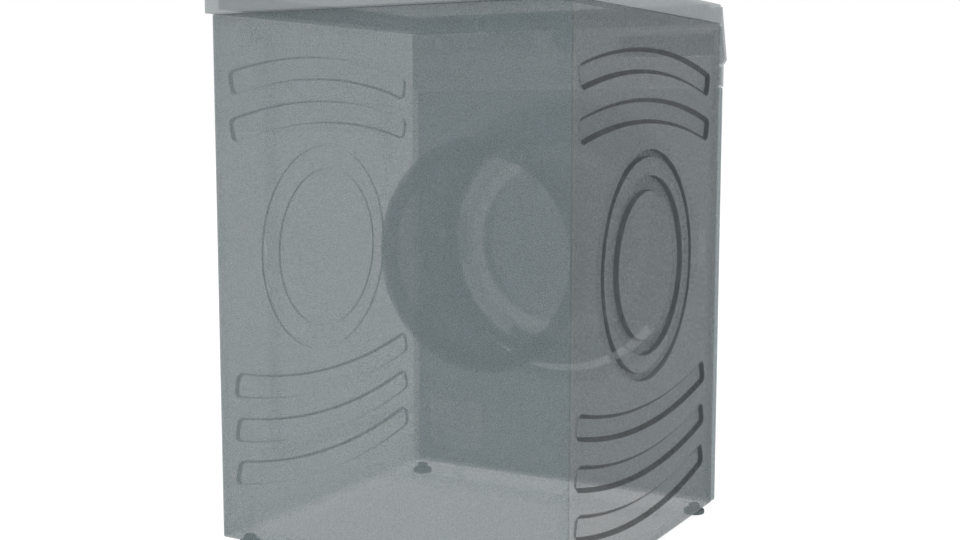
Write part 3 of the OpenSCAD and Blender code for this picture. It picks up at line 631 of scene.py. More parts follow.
# The side panels' ribs, in mm: a band of an arc about a far centre, with round corners.
# Each row is (height of its middle, 1 if it arches up or -1 if down).
RIB_RADIUS, RIB_WIDTH, RIB_CORNER, RIB_HALF_ANGLE = 960.0, 37.0, 11.0, 14.6
RIB_ROWS = ((748, 1), (676, 1), (221, -1), (150, -1), (81, -1))


def rib(ca, cb, flip, inset, along=48, round_steps=8):
    """A rib's outline about (ca, cb) in metres; inset, in mm, moves it in."""
    mean, corner = RIB_RADIUS, RIB_CORNER - inset
    r0, r1 = mean - RIB_WIDTH / 2 + inset, mean + RIB_WIDTH / 2 - inset
    reach = math.radians(RIB_HALF_ANGLE) - inset / mean
    core = reach - corner / mean
    out = []

    def point(radius, angle):
        a, b = radius * math.sin(angle), radius * math.cos(angle) - mean
        out.append((ca + a * MM, cb + flip * b * MM))

    def turned(base, end, start, last=round_steps):
        for k in range(1, last + 1):
            t = math.radians(start + 90 * k / round_steps)
            point(base + corner * math.sin(t), end + corner * math.cos(t) / mean)

    for k in range(along + 1):
        point(r1, core - 2 * core * k / along)
    turned(r1 - corner, -core, 90)
    turned(r0 + corner, -core, 180)
    for k in range(1, along + 1):
        point(r0, -core + 2 * core * k / along)
    turned(r0 + corner, core, 270)
    turned(r1 - corner, core, 0, round_steps - 1)
    return out


def inside(point, loop):
    """Whether the point is inside the closed loop, by counting crossings."""
    x, y = point
    hit = False
    j = len(loop) - 1
    for i in range(len(loop)):
        (xi, yi), (xj, yj) = loop[i], loop[j]
        if (yi > y) != (yj > y) and x < (xj - xi) * (y - yi) / (yj - yi) + xi:
            hit = not hit
        j = i
    return hit


def ease(t):
    return t * t * (3 - 2 * t)


def slope(start, end, depth0, depth1, steps=7):
    """(inset, depth) pairs of a smooth pressed wall."""
    return [(start + (end - start) * k / steps, depth0 + (depth1 - depth0) * ease(k / steps))
            for k in range(steps + 1)]


class Sheet:
    """Thin sheet built of loops: pressed features, bent edges and the flat face between them."""

    STEEP = 0.35  # mm of depth between two loops that makes the wall between them a steep one

    def __init__(self, to_3d):
        self.to_3d = to_3d
        self.verts, self.faces, self.index = [], [], []

    def loop(self, points, depth):
        """Adds a loop of vertices and returns their numbers."""
        base = len(self.verts)
        self.verts += [self.to_3d(a, b, depth) for a, b in points]
        return list(range(base, base + len(points)))

    def strip(self, a, b, finish):
        """Joins two loops; finish(share of the way round) gives a face's finish."""
        self.faces += band(a, b)
        self.index += [finish(k / len(a)) for k in range(len(a))]

    def feature(self, outline, profile, cap=True, pick=None):
        """outline(inset) gives points; profile is (inset, depth) in mm. Returns the first loop.
        pick(inset, depth, steep, share of the way round) gives a face's finish; it is 0 without one."""
        first = None
        before = None
        for inset, depth in profile:
            points = outline(inset)
            ids = self.loop(points, depth * MM)
            if before:
                steep = abs(depth - before[1]) > self.STEEP
                self.strip(before[0], ids, lambda share: pick(inset, depth, steep, share) if pick else 0)
            else:
                first = (points, ids)
            before = (ids, depth)
        if cap:
            self.faces.append(tuple(before[0]))
            self.index.append(0)
        return first

    def flat(self, outer, holes):
        """Fills between the outer loop and the holes; each is (points, ids)."""
        points, ids, edges = [], [], []
        for pts, loop in [outer, *holes]:
            base = len(points)
            points += [Vector(p) for p in pts]
            ids += loop
            edges += [(base + k, base + (k + 1) % len(pts)) for k in range(len(pts))]
        out = delaunay_2d_cdt(points, edges, [], 0, 1e-7)
        origin = [o[0] if o else None for o in out[3]]
        for tri in out[2]:
            where = [origin[i] for i in tri]
            if None in where:
                continue
            mid = sum((points[i] for i in where), Vector((0, 0))) / len(where)
            if not inside(mid, outer[0]) or any(inside(mid, hole[0]) for hole in holes):
                continue
            self.faces.append(tuple(ids[i] for i in where))
            self.index.append(0)

    def done(self, name, mats, outward, thick=1.0):
        """The finished object, thick mm of sheet behind the face that looks outward."""
        obj = build(name, self.verts, self.faces, mats, self.index)
        tidy_normals(obj, outward)
        plate = obj.modifiers.new("thickness", "SOLIDIFY")
        plate.thickness = thick * MM
        plate.offset = -1
        bake(obj)
        smooth(obj, 50)
        return obj


def edge_bend(depth, radius=2.5, steps=5):
    """(inset, depth) pairs from the flat face out over a bend and down a flange."""
    out = [(radius, 0.0)]
    for k in range(1, steps + 1):
        t = math.radians(90 * k / steps)
        out.append((radius * (1 - math.sin(t)), radius * (1 - math.cos(t))))
    out.append((0.0, depth))
    return out


def side_panel(name, node, sign, mats, field, rib_wall, rings):
    """A side panel facing +x or -x, by sign; mats are the finishes of the sheet, the ribs' walls, the folded hem and
    the round pressing's walls. The sheet's field is sunk by field, in metres, inside the border. Below it, rib_wall is
    the (inset, depth) pairs of a rib's wall and rings the (radius, depth) pairs of the round pressing, in mm."""
    lo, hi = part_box(node)
    # The wall finishes of the ribs and of the round pressing are dark: painted shade on the pressed walls.
    plain, rib_shade, hem, ring_shade = range(4)
    y0, y1, z0, z1 = lo.y + 0.3 * MM, hi.y - 1.2 * MM, lo.z, hi.z
    mid_y = (lo.y + hi.y) / 2 - 1 * MM
    sunk = field / MM
    sheet = Sheet(lambda a, b, d: Vector((sign * (HALF_W - field - d), a, b)))

    def outline(inset):
        return rounded_rect(y0, z0, y1, z1, 4 * MM, inset * MM)

    border = [(22.0, 0.0), *slope(20, 5, 0.0, -sunk, 6)] if field else []
    border += [(inset, depth - sunk) for inset, depth in edge_bend(15)]
    outer = sheet.feature(outline, border, False,
                          lambda inset, d, steep, share: hem if inset < 2.4 and d > 2 - sunk else plain)
    holes = []
    for z, flip in RIB_ROWS:
        holes.append(sheet.feature(lambda inset: rib(mid_y, z * MM, flip, inset), rib_wall,
                                   pick=lambda inset, d, steep, share: rib_shade if steep else plain))
    holes.append(sheet.feature(lambda r: circle(mid_y, AXIS_Z, r * MM, 144), rings,
                               pick=lambda r, d, steep, share: ring_shade if steep else plain))
    sheet.flat(outer, holes)
    obj = sheet.done(name, mats, (sign, 0, 0))
    return own(obj, "cabinet", "cabinet_steel", node)


def rear_panel():
    """A plain sheet with a rolled edge; the photo shows no opening in it."""
    lo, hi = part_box("rear_panel")
    sheet = Sheet(lambda a, b, d: Vector((a, hi.y - d, b)))
    x0, x1, z0, z1 = lo.x - 0.8 * MM, hi.x + 0.8 * MM, lo.z, hi.z
    outer = sheet.feature(lambda inset: rounded_rect(x0, z0, x1, z1, 3 * MM, inset * MM),
                          [(0.8, 0.0), (0.25, 0.08), (0.0, 0.3)], cap=False)
    sheet.flat(outer, [])
    return own(sheet.done("rear_panel_sheet", [REAR], (0, 1, 0), 0.7), "cabinet", "cabinet_steel", "rear_panel")


def front_panel():
    """The front with the door's round recess, the openings for flap and latch, and the flap's two ears."""
    lo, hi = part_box("front_panel")
    plain, thin, hem = range(3)
    depth = (hi.y - lo.y) / MM - 2.3
    flap_lo, flap_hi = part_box("filter_flap")
    sheet = Sheet(lambda a, b, d: Vector((a, lo.y + d, b)))
    outer = sheet.feature(lambda inset: rounded_rect(lo.x, lo.z, hi.x, hi.z, 4 * MM, inset * MM),
                          edge_bend(depth, 3.0), False, lambda inset, d, steep, share: hem if d > 2.5 else plain)
    dish = [(236.0, 0.0), (234.5, 0.1), (232.6, 0.8), (231.4, 2.0), (230.6, 4.0), (229.4, 12.0), (228.2, 14.4),
            (226.4, 15.6), (224.0, 16.0), (219.0, 16.0), (205.0, 16.0), (176.0, 16.0), (171.5, 16.4), (169.6, 17.6),
            (169.0, 19.0), (169.0, 21.0)]

    def pale(radius, d, steep, share):
        """The thin finish: the inner part, which is wider towards +x, and an arc of the wall at the bottom."""
        inner = 175 if 0.17 < share < 0.83 else 180
        # The bottom arc of the dish wall takes the thin finish as a painted highlight.
        painted_highlight_arc = 218 < radius < 232 and 0.60 < share < 0.86
        return thin if radius < inner or painted_highlight_arc else plain

    holes = [sheet.feature(lambda r: circle(0, AXIS_Z, r * MM, 160), dish, False, pale)]
    x0, x1 = flap_lo.x + 1.3 * MM, flap_hi.x - 1.3 * MM
    z0, z1 = flap_lo.z - 0.2 * MM, flap_hi.z + 0.8 * MM
    holes.append(sheet.feature(lambda inset: rounded_rect(x0, z0, x1, z1, 3 * MM, inset * MM),
                               [(-2.0, 0.0), (-0.6, 0.15), (0.0, 0.8), (0.0, 2.6)], cap=False))
    latch = middle("door_latch")
    holes.append(sheet.feature(lambda inset: rounded_rect(latch.x - 5.5 * MM, AXIS_Z - 13 * MM, latch.x + 8 * MM,
                                                          AXIS_Z + 13 * MM, 2 * MM, inset * MM),
                               [(0.0, 0.0), (0.3, 0.5)], cap=False))
    sheet.flat(outer, holes)
    obj = sheet.done("front_panel_pressing", [FRONT_PAINTED_LIGHT, DISH_CLEAR_AND_HIGHLIGHT, FRONT_HEM], (0, -1, 0))
    ears = []
    _, pin_y, pin_z = JOINTS["flap_hinge"]["pos_m"]
    for x in (flap_lo.x - 0.4 * MM, flap_hi.x - 1.6 * MM):
        pin = Matrix.Translation((x, pin_y, pin_z)) @ Matrix.Rotation(math.pi / 2, 4, "Y")
        ears.append(turn("ear", fillet([(1.6, 0), (3.9, 0), (3.9, 2), (1.6, 2)], 0.3, 2), [FRONT_PAINTED_LIGHT], pin, 32))
    obj = join("front_panel_pressing", [obj, *ears])
    smooth(obj, 50)
    return own(obj, "cabinet", "front_steel", "front_panel")


def loft_ring(name, outline, profile, mats, cap=False):
    """A closed frame: profile is (inset, z) in mm round an outline(inset); cap closes it to a board."""
    verts, faces, rows = [], [], []
    for inset, z in profile:
        points = outline(inset)
        rows.append(range(len(verts), len(verts) + len(points)))
        verts += [Vector((x, y, z * MM)) for x, y in points]
    pairs = list(zip(rows, rows[1:]))
    if not cap:
        pairs.append((rows[-1], rows[0]))
    for a, b in pairs:
        faces += band(a, b)
    if cap:
        faces += [tuple(rows[0]), tuple(rows[-1])]
    return solid(name, verts, faces, mats)


def worktop():
    """The rim that stands out behind, and the board inside it."""
    lo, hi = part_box("top_frame")
    bottom, top = lo.z / MM, hi.z / MM

    def outline(inset):
        return rounded_rect(lo.x, lo.y, hi.x, hi.y, 6 * MM, inset * MM)

    rim = [(0.6, bottom + 0.2), (0.1, bottom + 0.8), (0.0, bottom + 2), (0.0, top - 3.6), (0.3, top - 2.2),
           (1.1, top - 1), (2.3, top - 0.3), (3.8, top), (14.4, top), (15.5, top - 0.4), (15.9, top - 1.4),
           (15.9, bottom + 5.9), (39.4, bottom + 5.9), (40.0, bottom + 5.2), (40.0, bottom + 0.8), (39.4, bottom + 0.2)]
    own(loft_ring("worktop_rim", outline, rim, [LID]), "cabinet", "worktop", "top_frame")
    panel = [(17.2, bottom + 6.1), (16.2, bottom + 7.0), (16.2, top - 2.2), (16.6, top - 1.3), (17.6, top - 1.02)]
    own(loft_ring("worktop_panel", outline, panel, [BOARD], cap=True), "cabinet", "worktop", "top_board")


# -------------------- feet

def foot(node):
    """A fluted disc, a hexagon to turn it by and a threaded rod, which hardly shows through the cabinet."""
    lo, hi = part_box(node)
    x, y = (lo.x + hi.x) / 2, (lo.y + hi.y) / 2
    r = (hi.x - lo.x) / 2 / MM
    top = hi.z / MM
    profile = [(0, 0), (r - 2.2, 0), (r - 1.0, 0.25), (r - 0.25, 0.9), (r, 1.8), (r, 5.2), (r - 0.3, 6.2),
               (r - 1.2, 7.1), (r - 2.6, 7.7), (11.5, 8.4), (9.6, 9.2), (9.0, 10.2), (9.0, 15.4), (8.4, 16.2),
               (5.2, 16.6), (5.0, 17.2)]
    rod = 16.4
    z, pitch = 18.0, 1.75
    while z < top - 2.6:
        profile += [(4.45, z), (4.98, z + 0.75), (4.45, z + 1.5)]
        z += pitch
    profile += [(4.4, top - 0.9), (3.6, top - 0.05), (0, top - 0.05)]
    disc = turn("disc", profile, [FOOT, FAINT], Matrix.Translation((x, y, 0)), 64, closed=False,
                flute=(24, 0.7, 1.5, 5.6), pick=lambda k: 1 if profile[k][1] > rod else 0)
    flats = [(0, 9.4), (10.0, 9.4), (10.2, 9.7), (10.2, 15.0), (10.0, 15.3), (0, 15.3)]
    hexagon = turn("hexagon", flats, [FOOT], Matrix.Translation((x, y, 0)), 6, closed=False)
    obj = join(node.replace("foot", "levelling_foot"), [disc, hexagon])
    smooth(obj, 32)
    own(obj, body_of(node), "foot_plastic", node)


# -------------------- tub, drum and motor

def two_finishes(name, profile, mats, edge=152):
    """A solid of revolution about the drum's axis, with the second finish where the radius is under edge, in mm."""
    def pick(k):
        return 1 if (profile[k][0] + profile[(k + 1) % len(profile)][0]) / 2 < edge else 0

    return turn(name, profile, mats, ABOUT_DRUM, 128, pick=pick)


def ribbed_wall(y0, y1, r_in, r_out, step=24.0):
    """The profile of an annular wall with concentric stiffening ribs."""
    ribs = [(r_in, y0), (r_out, y0), (r_out, y1)]
    r = r_out - step
    while r > r_in + 8:
        ribs += [(r + 2, y1), (r + 1.4, y1 + 2.6), (r - 1.4, y1 + 2.6), (r - 2, y1)]
        r -= step
    return ribs + [(r_in, y1)]


def tub_rear():
    """The tub's rear half: shell, ribbed back wall, bearing boss and the two eyes for the springs."""
    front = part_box("tub_rear_half")[0].y / MM
    r = 190.0
    back = 5.0
    shell = fillet([(r - 4, front), (r + 8, front), (r + 8, front + 7), (r, front + 7), (r, back), (r - 30, back),
                    (r - 30, back - 4), (r - 4, back - 4)], 1.2, 3)
    body = turn("shell", shell, [TUB], ABOUT_DRUM, 160)
    wall = two_finishes("wall", ribbed_wall(back - 4, back, 36.5, r - 30), [TUB, FAINT])
    boss = turn("boss", fillet([(24.2, back - 4), (36, back - 4), (36, back + 26), (24.2, back + 26)], 1.0, 3),
                [FAINT], ABOUT_DRUM, 64)
    lip = turn("lip", [(20.2, back - 4), (24.2, back - 4), (24.2, back), (20.2, back)], [FAINT], ABOUT_DRUM, 64)
    parts = [body, wall, boss, lip]
    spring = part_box("suspension_springs")
    y = (spring[0].y + spring[1].y) / 2
    z = spring[0].z - 1 * MM
    for sign in (-1, 1):
        x0, x1 = (160 * MM, 215 * MM) if sign > 0 else (-215 * MM, -160 * MM)
        sheet = Sheet(lambda a, b, d: Vector((a, b, z - d)))
        hole = sheet.feature(lambda rr: circle(sign * 205 * MM, y, rr * MM, 24), [(3.4, 0.0), (3.0, 0.4)], cap=False)
        outer = sheet.feature(lambda inset: rounded_rect(x0, y - 10 * MM, x1, y + 10 * MM, 5 * MM, inset * MM),
                              [(1.4, 0.0), (0.5, 0.3), (0.0, 1.2), (0.0, 6.0)], cap=False)
        sheet.flat(outer, [hole])
        parts.append(sheet.done("eye", [TUB], (0, 0, 1), 2.4))
    obj = join("tub_rear_shell", parts)
    smooth(obj)
    return own(obj, "tub", "tub_plastic", "tub_rear_half")


def perforated(name, r, y0, y1, mat, around=150, pitch=7.4, hole=1.5):
    """The drum's skin: rows of small round holes, every other row shifted. Lengths are in mm."""
    along = int((y1 - y0) / pitch)
    verts, faces, seen = [], [], {}

    def add(a, y):
        t = 2 * math.pi * a / around
        verts.append(ABOUT_DRUM @ Vector((r * math.cos(t) * MM, r * math.sin(t) * MM, y * MM)))
        return len(verts) - 1

    def shared(a, y):
        key = (round(a * 4) % (around * 4), round(y * 400))
        if key not in seen:
            seen[key] = add(a, y)
        return seen[key]

    dy = (y1 - y0) / along
    width = 2 * math.pi * r / around
    for j in range(along):
        for i in range(around):
            c_a, c_y = i + 0.5, y0 + (j + 0.5) * dy
            square = [(i, -0.5), (i + 0.5, -0.5), (i + 1, -0.5), (i + 1, 0), (i + 1, 0.5), (i + 0.5, 0.5), (i, 0.5),
                      (i, 0)]
            ring = [shared(a, c_y + b * dy) for a, b in square]
            if (i + j) % 2:
                faces.append(tuple(ring))
                continue
            inner = []
            for k in range(8):
                t = math.radians(225 + 45 * k)
                inner.append(add(c_a + hole * math.cos(t) / width, c_y + hole * math.sin(t)))
            faces += band(ring, inner)
    obj = build(name, verts, faces, [mat])
    tidy_normals(obj)
    return obj


def drum():
    r = (DRUM_HI.x - DRUM_LO.x) / 2 / MM
    y0, y1 = DRUM_LO.y / MM, DRUM_HI.y / MM
    mouth = 150.0
    skin = perforated("skin", r, y0 + 20, y1 - 20, DRUM)
    front = fillet([(r, y0 + 20), (r, y0), (mouth + 3, y0), (mouth, y0 + 8), (mouth + 1.0, y0 + 8), (mouth + 4, y0 + 1),
                    (r - 1, y0 + 1), (r - 1, y0 + 20)], 3.5, 4)
    tail = [(r - 1, y1 - 20), (r - 1, y1 - 6), (r - 5, y1 - 1), (152, y1 - 1), (126, y1 - 3.5), (60, y1 - 3.5),
            (42, y1 - 1), (30, y1 - 1), (30, y1), (42, y1), (60, y1 - 2.5), (126, y1 - 2.5), (152, y1), (r - 5, y1),
            (r, y1 - 5), (r, y1 - 20)]
    obj = join("drum_perforated", [skin, turn("front", front, [DRUM], ABOUT_DRUM, 128),
                                   two_finishes("tail", tail, [DRUM, FAINT])])
    smooth(obj)
    return own(obj, "drum", "drum_steel", "drum")


def stator(teeth=18, turns=6, steps=12):
    """Hub and core of the motor's fixed part, with a wound tooth every 20 degrees."""
    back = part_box("motor_stator")[0].y / MM
    hub = turn("hub", fillet([(37, back), (92, back), (92, back + 4.8), (37, back + 4.8)], 0.8, 2), [MOTOR],
               ABOUT_DRUM, 96)
    core = turn("core", fillet([(84, back), (98, back), (98, back + 21.8), (84, back + 21.8)], 0.8, 2), [MOTOR],
                ABOUT_DRUM, 96)
    runs = []
    for i in range(teeth):
        turn_by = Matrix.Rotation(2 * math.pi * i / teeth, 4, "Z")
        points = []
        for k in range(turns * steps + 1):
            t = 2 * math.pi * k / steps
            r = 103 + 20 * k / (turns * steps)
            c, s = math.cos(t), math.sin(t)
            across = 7.5 * math.copysign(abs(c) ** 0.5, c)
            height = 7.2 * math.copysign(abs(s) ** 0.5, s)
            points.append(ABOUT_DRUM @ turn_by @ Vector((r * MM, across * MM, (back + 13 + height) * MM)))
        runs.append((points, 1.2 * MM, 0.0, 6))
    coils = tube_object("coils", runs, COPPER, 60)
    tips = []
    for i in range(teeth):
        verts = []
        for r in (97, 129):
            for w, h in ((-5.2, -5.4), (5.2, -5.4), (5.2, 5.4), (-5.2, 5.4)):
                verts.append(ABOUT_DRUM @ Matrix.Rotation(2 * math.pi * i / teeth, 4, "Z")
                             @ Vector((r * MM, w * MM, (back + 13 + h) * MM)))
        faces = [(0, 1, 2, 3), (4, 7, 6, 5), (0, 4, 5, 1), (1, 5, 6, 2), (2, 6, 7, 3), (3, 7, 4, 0)]
        tips.append(build("tip", verts, faces, [MOTOR]))
    obj = join("motor_stator_wound", [hub, core, coils, *tips])
    tidy_normals(obj)
    smooth(obj)
    return own(obj, "tub", "motor_steel", "motor_stator")


# -------------------- springs and hoses

def bridge(obj, node, start, end):
    """obj joins the cabinet to the floating tub, and follows both."""
    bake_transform(obj, "cabinet", "tub", start=start, end=end)
    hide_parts(node)


def springs(turns=26, steps=16):
    lo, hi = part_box("suspension_springs")
    y = (lo.y + hi.y) / 2
    z0, z1 = 590 * MM, 760 * MM
    wire, r = 1.6 * MM, 11.2 * MM
    last = turns * steps
    runs = []
    for sign in (-1, 1):
        x = sign * (hi.x - 13 * MM)
        coil = []
        for k in range(last + 1):
            t = 2 * math.pi * k / steps
            grow = min(1.0, k / steps, (last - k) / steps)
            coil.append(Vector((x + r * grow * math.cos(t), y + r * grow * math.sin(t), z0 + (z1 - z0) * k / last)))
        runs.append((coil, wire, 0.0, 8))
        runs.append((line((x, y, lo.z), (x, y, z0 + 1 * MM), 12), wire, 0.0, 8))
        runs.append((line((x, y, z1 - 1 * MM), (x, y, hi.z), 12), wire, 0.0, 8))
    obj = tube_object("suspension_spring_coils", runs, ZINC, 60)
    bridge(obj, "suspension_springs", (0, y, hi.z - 0.02), (0, y, lo.z + 0.02))


def gasket():
    lo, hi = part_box("door_gasket")
    front, back = lo.y / MM, hi.y / MM
    r = 168.0
    profile = fillet([(r - 3, front), (r - 0.4, front), (r - 0.4, front + 7), (r + 8, front + 9.6),
                      (r + 8, front + 12.4), (r - 3.6, front + 15.4), (r - 3.6, front + 17.6), (r + 9, back - 1.4),
                      (r + 9, back), (r - 5, back), (r - 7.6, front + 18.4), (r - 7.6, front + 14.6),
                      (r + 3, front + 11), (r - 3, front + 8)], 1.1, 3)
    obj = turn("door_gasket_bellows", profile, [SEAL], ABOUT_DRUM, 144)
    bridge(obj, "door_gasket", (0, lo.y + 8 * MM, 0), (0, hi.y - 1 * MM, 0))


def corrugated(plain, proud, pitch, start, end):
    """A hose's radius along its length: plain in mm, with rings that stand proud between start and end."""
    def radius(s):
        if start <= s <= end:
            return (plain + proud * (0.5 - 0.5 * math.cos(2 * math.pi * (s - start) / pitch))) * MM
        return plain * MM
    return radius


def sump_hose():
    lo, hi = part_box("sump_hose")
    x, y, top = lo.x + 22 * MM, (lo.y + hi.y) / 2, hi.z
    low, bend = lo.z + 19 * MM, 30 * MM
    points = route(line((x, y, top), (x, y, low + bend), 90),
                   arc((x + bend, y, low + bend), (-1, 0, 0), (0, 0, -1), bend, 0, 90, 16),
                   line((x + bend, y, low), (hi.x, y, low), 30))
    rings = corrugated(19, 2.9, 14 * MM, 18 * MM, 116 * MM)
    obj = tube_object("sump_hose_bellows", [(points, rings, 3 * MM, 24)], HOSE)
    bridge(obj, "sump_hose", (x, y, low + bend), (x, y, top - 0.01))


def dispenser_hose():
    lo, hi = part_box("dispenser_hose")
    x, y = (lo.x + hi.x) / 2, (lo.y + hi.y) / 2
    points = line((x, y, lo.z), (x, y, hi.z), 110)
    rings = corrugated(18, 2.9, 12 * MM, 32 * MM, 128 * MM)
    obj = tube_object("dispenser_hose_bellows", [(points, rings, 2.5 * MM, 24)], HOSE)
    bridge(obj, "dispenser_hose", (x, y, hi.z - 0.01), (x, y, lo.z + 0.02))


def drain_hose():
    """Up from the pump, back over the base, up behind the tub and out through the rear panel with a collar."""
    lo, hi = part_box("drain_hose")
    x = middle("drain_hose").x
    out_z = hi.z - 14 * MM
    bend, top_bend = 25 * MM, 14 * MM
    start_y, start_z = -175 * MM, lo.z
    run_z = start_z + bend
    rise_y = 258 * MM
    points = route(arc((x, start_y + bend, start_z), (0, -1, 0), (0, 0, 1), bend, 0, 90, 12),
                   line((x, start_y + bend, run_z), (x, rise_y - bend, run_z), 120),
                   arc((x, rise_y - bend, run_z + bend), (0, 0, -1), (0, 1, 0), bend, 0, 90, 12),
                   line((x, rise_y, run_z + bend), (x, rise_y, out_z - top_bend), 190),
                   arc((x, rise_y + top_bend, out_z - top_bend), (0, -1, 0), (0, 0, 1), top_bend, 0, 90, 8),
                   line((x, rise_y + top_bend, out_z), (x, hi.y, out_z), 10))
    rings = corrugated(9.2, 0.8, 5 * MM, 40 * MM, 1010 * MM)
    obj = tube_object("drain_hose_corrugated", [(points, rings, 1.8 * MM, 20)], HOSE)
    collar = turn("collar", fillet([(10.4, 288.2), (13.8, 288.2), (13.8, 290.8), (10.4, 290.8)], 0.5, 2), [FITTING],
                  Matrix.Translation((x, 0, out_z)) @ Matrix.Rotation(-math.pi / 2, 4, "X"), 48)
    obj = join("drain_hose_corrugated", [obj, collar])
    second_finish(obj, FITTING, lambda r, c: c.y > 0.2751)
    smooth(obj, 45)
    own(obj, "cabinet", "hose_rubber", "drain_hose")


# -------------------- controls

def knob():
    """A fluted knob with a small round mark, on a shaft."""
    lo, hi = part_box("programme_knob")
    axis = out_of_fascia(JOINTS["knob_turn"]["pos_m"])
    r = (hi.x - lo.x) / 2 / MM
    profile = [(0, 10.6), (r - 6, 10.6), (r - 5, 10.9), (r - 4.2, 12.2), (r - 3, 12.6), (r - 1.6, 12.4),
               (r - 0.7, 11.8), (r - 0.3, 10.8), (r - 0.1, 6), (r, 1.2), (r - 0.6, 0.7), (3.2, 0.6), (3.0, 0.2),
               (3, -17), (2.4, -18), (0, -18)]
    body = turn("knob_body", profile, [KNOB], axis, 192, closed=False, flute=(24, 0.9, 1.0, 11.0))
    mark = turn("knob_mark", [(0, 12.0), (1.1, 12.0), (1.6, 11.5), (1.6, 10.0), (0, 10.0)], [DARK],
                axis @ Matrix.Translation((0, (r - 9) * MM, 0)), 24, closed=False)
    obj = join("programme_knob_fluted", [body, mark])
    smooth(obj)
    own(obj, "knob", "white_plastic", "programme_knob")


def button(node, r):
    """A dished cap of radius r, in mm, with a collar behind the fascia."""
    # the node reaches from 6 mm behind the face to 3 mm in front of it, so its box is centred 1.5 mm behind
    shift = Matrix.Translation((0, 0, 1.5 * MM))
    profile = [(0, 2.4), (r * 0.55, 2.55), (r * 0.8, 2.8), (r - 1.0, 3.0), (r - 0.3, 2.7), (r, 2.1), (r, -4.4),
               (r + 2, -4.4), (r + 2, -5.9), (0, -5.9)]
    obj = turn(node + "_cap", profile, [KNOB], out_of_fascia(middle(node)) @ shift, 64, closed=False)
    own(obj, body_of(node), "white_plastic", node)


# -------------------- build

make_camera()
make_world()
make_light("key", (-2.6, 2.4, 3.2), (0, 0, 0.5), 2.4, 14)
make_light("fill", (2.8, -2.2, 2.2), (0, 0, 0.4), 2.4, 8)

side_panel("side_panel_near", "side_panel_left", -1, [NEAR, PRESSED_WALL_SHADE, HEM, ROUND_WALL_SHADE], 4.5 * MM,
           [(-2.5, 0.0), *slope(-1.0, 7.0, 0.0, 6.0, 9), (9.0, 6.0)],
           [(176.0, 0.0), *slope(172.0, 171.0, 0.0, 8.0, 6), *slope(162.0, 160.6, 8.0, 0.0, 6),
            *slope(133.6, 132.4, 0.0, 8.0, 6), *slope(112.6, 111.0, 8.0, 0.0, 6), (106.0, 0.0)])
side_panel("side_panel_far", "side_panel_right", 1, [FAR_PAINTED_LIGHT, FAR_WALL_SHADE, HEM, FAR_WALL_SHADE], 0,
           [(-2.5, 0.0), *slope(-0.4, 2.6, 0.0, 7.0, 9), (5.0, 7.0)],
           [(176.0, 0.0), *slope(172.5, 171.5, 0.0, 3.5, 6), *slope(133.5, 132.5, 3.5, 7.0, 6), (128.0, 7.0)])
rear_panel()
front_panel()
worktop()
for corner in ("front_left", "front_right", "rear_left", "rear_right"):
    foot("foot_" + corner)
tub_rear()
drum()
stator()
springs()
gasket()
sump_hose()
dispenser_hose()
drain_hose()
knob()
for control, size in (("start_button", 10.0), ("option_button_left", 8.0), ("option_button_right", 8.0)):
    button(control, size)

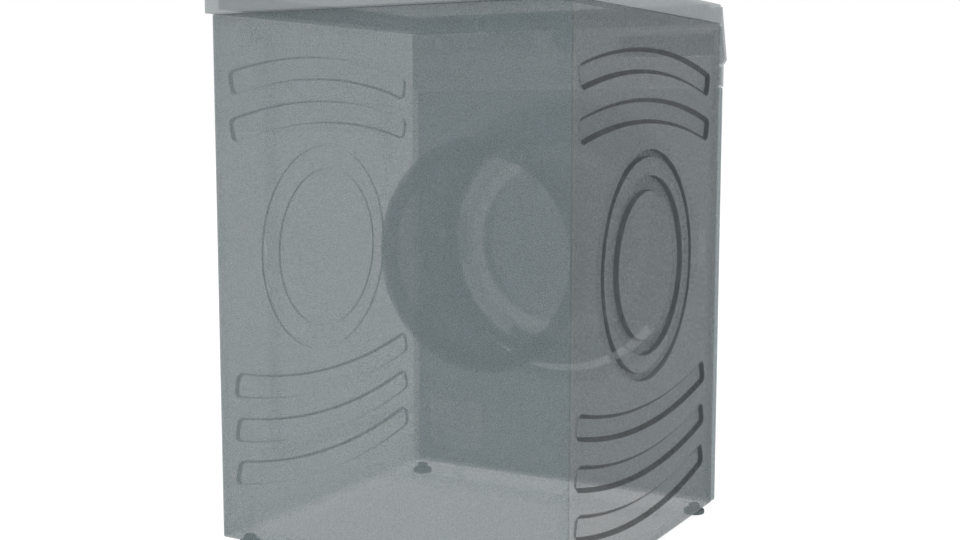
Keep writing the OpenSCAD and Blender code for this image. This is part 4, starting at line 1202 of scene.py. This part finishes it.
# Nodes whose CAD shape is right: (node, finish, record slot, width of the rounding in mm).
STEEL, PALE, BLACK = "galvanised_steel", "white_plastic", "dark_plastic"
REFINED = (
    ("front_top_rail", ZINC, STEEL, 0.4), ("base_frame", RAIL, STEEL, 0.6), ("suspension_crossbars", RAIL, STEEL, 0.5),
    ("control_fascia", FASCIA, "fascia_plastic", 0.9), ("fascia_trim", FASCIA, "fascia_plastic", 0.8),
    ("foot_locknuts", ZINC, STEEL, 0.5), ("door_ring", DOOR, "door_plastic", 0.5),
    ("door_inner_ring", INNER, "door_plastic", 0.5), ("door_glass", GLASS, "door_bowl_glass", 0.6),
    ("door_handle", DOOR, "door_plastic", 0.5), ("door_latch", ZINC, STEEL, 0.4),
    ("door_hinge_bracket", ZINC, STEEL, 0.4), ("door_hinge_pin", ZINC, STEEL, 0.4), ("door_lock", DARK, BLACK, 0.6),
    ("tub_front_half", TUB, "tub_plastic", 0.6), ("tub_bolts", ZINC, STEEL, 0.4), ("bearing_front", ZINC, STEEL, 0.4),
    ("bearing_rear", ZINC, STEEL, 0.4), ("shaft_seal", SEAL, BLACK, 0.3),
    ("counterweight_front", STONE, "concrete", 4.0), ("counterweight_top", STONE, "concrete", 4.0),
    ("heater", ZINC, STEEL, 0.4), ("damper_rods", RAIL, STEEL, 0.5), ("drum_lifters", DRUM, PALE, 1.5),
    ("drum_spider", MOTOR, "motor_steel", 1.0), ("motor_rotor", MOTOR, "motor_steel", 0.6),
    ("damper_cylinders", DARK, BLACK, 0.7), ("pump_housing", DARK, PALE, 0.8), ("pump_impeller", WHITE, PALE, 0.3),
    ("pump_filter", WHITE, PALE, 0.6), ("filter_flap", FASCIA, "front_steel", 0.5),
    ("inlet_valve", FITTING, PALE, 0.8), ("inlet_hose", HOSE, "hose_rubber", 0.5),
    ("dispenser_housing", WHITE, PALE, 0.7), ("detergent_drawer", WHITE, PALE, 0.7),
    ("control_board", PCB, "circuit_board", 0.25), ("display_window", SCREEN, "display_glass", 0.6),
    ("mains_gland", FITTING, BLACK, 0.7),
)
finished = {node: refine(node, finish, slot, width) for node, finish, slot, width in REFINED}

# The photo shows only the tub's smooth wall and the ring at its rear end, which is darker towards -x. All in metres.
TUB_INSIDE, TUB_OUTSIDE, TUB_FRONT = 0.184, 0.1915, -0.2445
RING_IN, RING_OUT, RING_FACE = 0.151, 0.1895, -0.002
REAR_INSIDE = 0.2849  # the rear panel's inner face
DRAWER_FRONT = -0.27
tub_shell = bpy.data.objects["tub_rear_shell"]
second_finish(finished["tub_front_half"], FAINT,
              lambda r, c: not TUB_INSIDE < r < TUB_OUTSIDE or c.y < TUB_FRONT)
second_finish(tub_shell, FAINT, lambda r, c: r > TUB_OUTSIDE)
# The ring at the tub's rear end gets three darker finishes towards -x: painted shade.
for finish, edge in ((TUB_SHADE_SLIGHT, 0.2), (TUB_SHADE_MORE, -0.06), (TUB_SHADE_MOST, -0.1)):
    second_finish(tub_shell, finish, lambda r, c: RING_IN < r < RING_OUT and c.y > RING_FACE and c.x < edge)
second_finish(finished["detergent_drawer"], FASCIA, lambda r, c: c.y < DRAWER_FRONT)
for node in ("inlet_valve", "mains_gland"):
    second_finish(finished[node], WHITE, lambda r, c: c.y < REAR_INSIDE)

floor = make_floor()
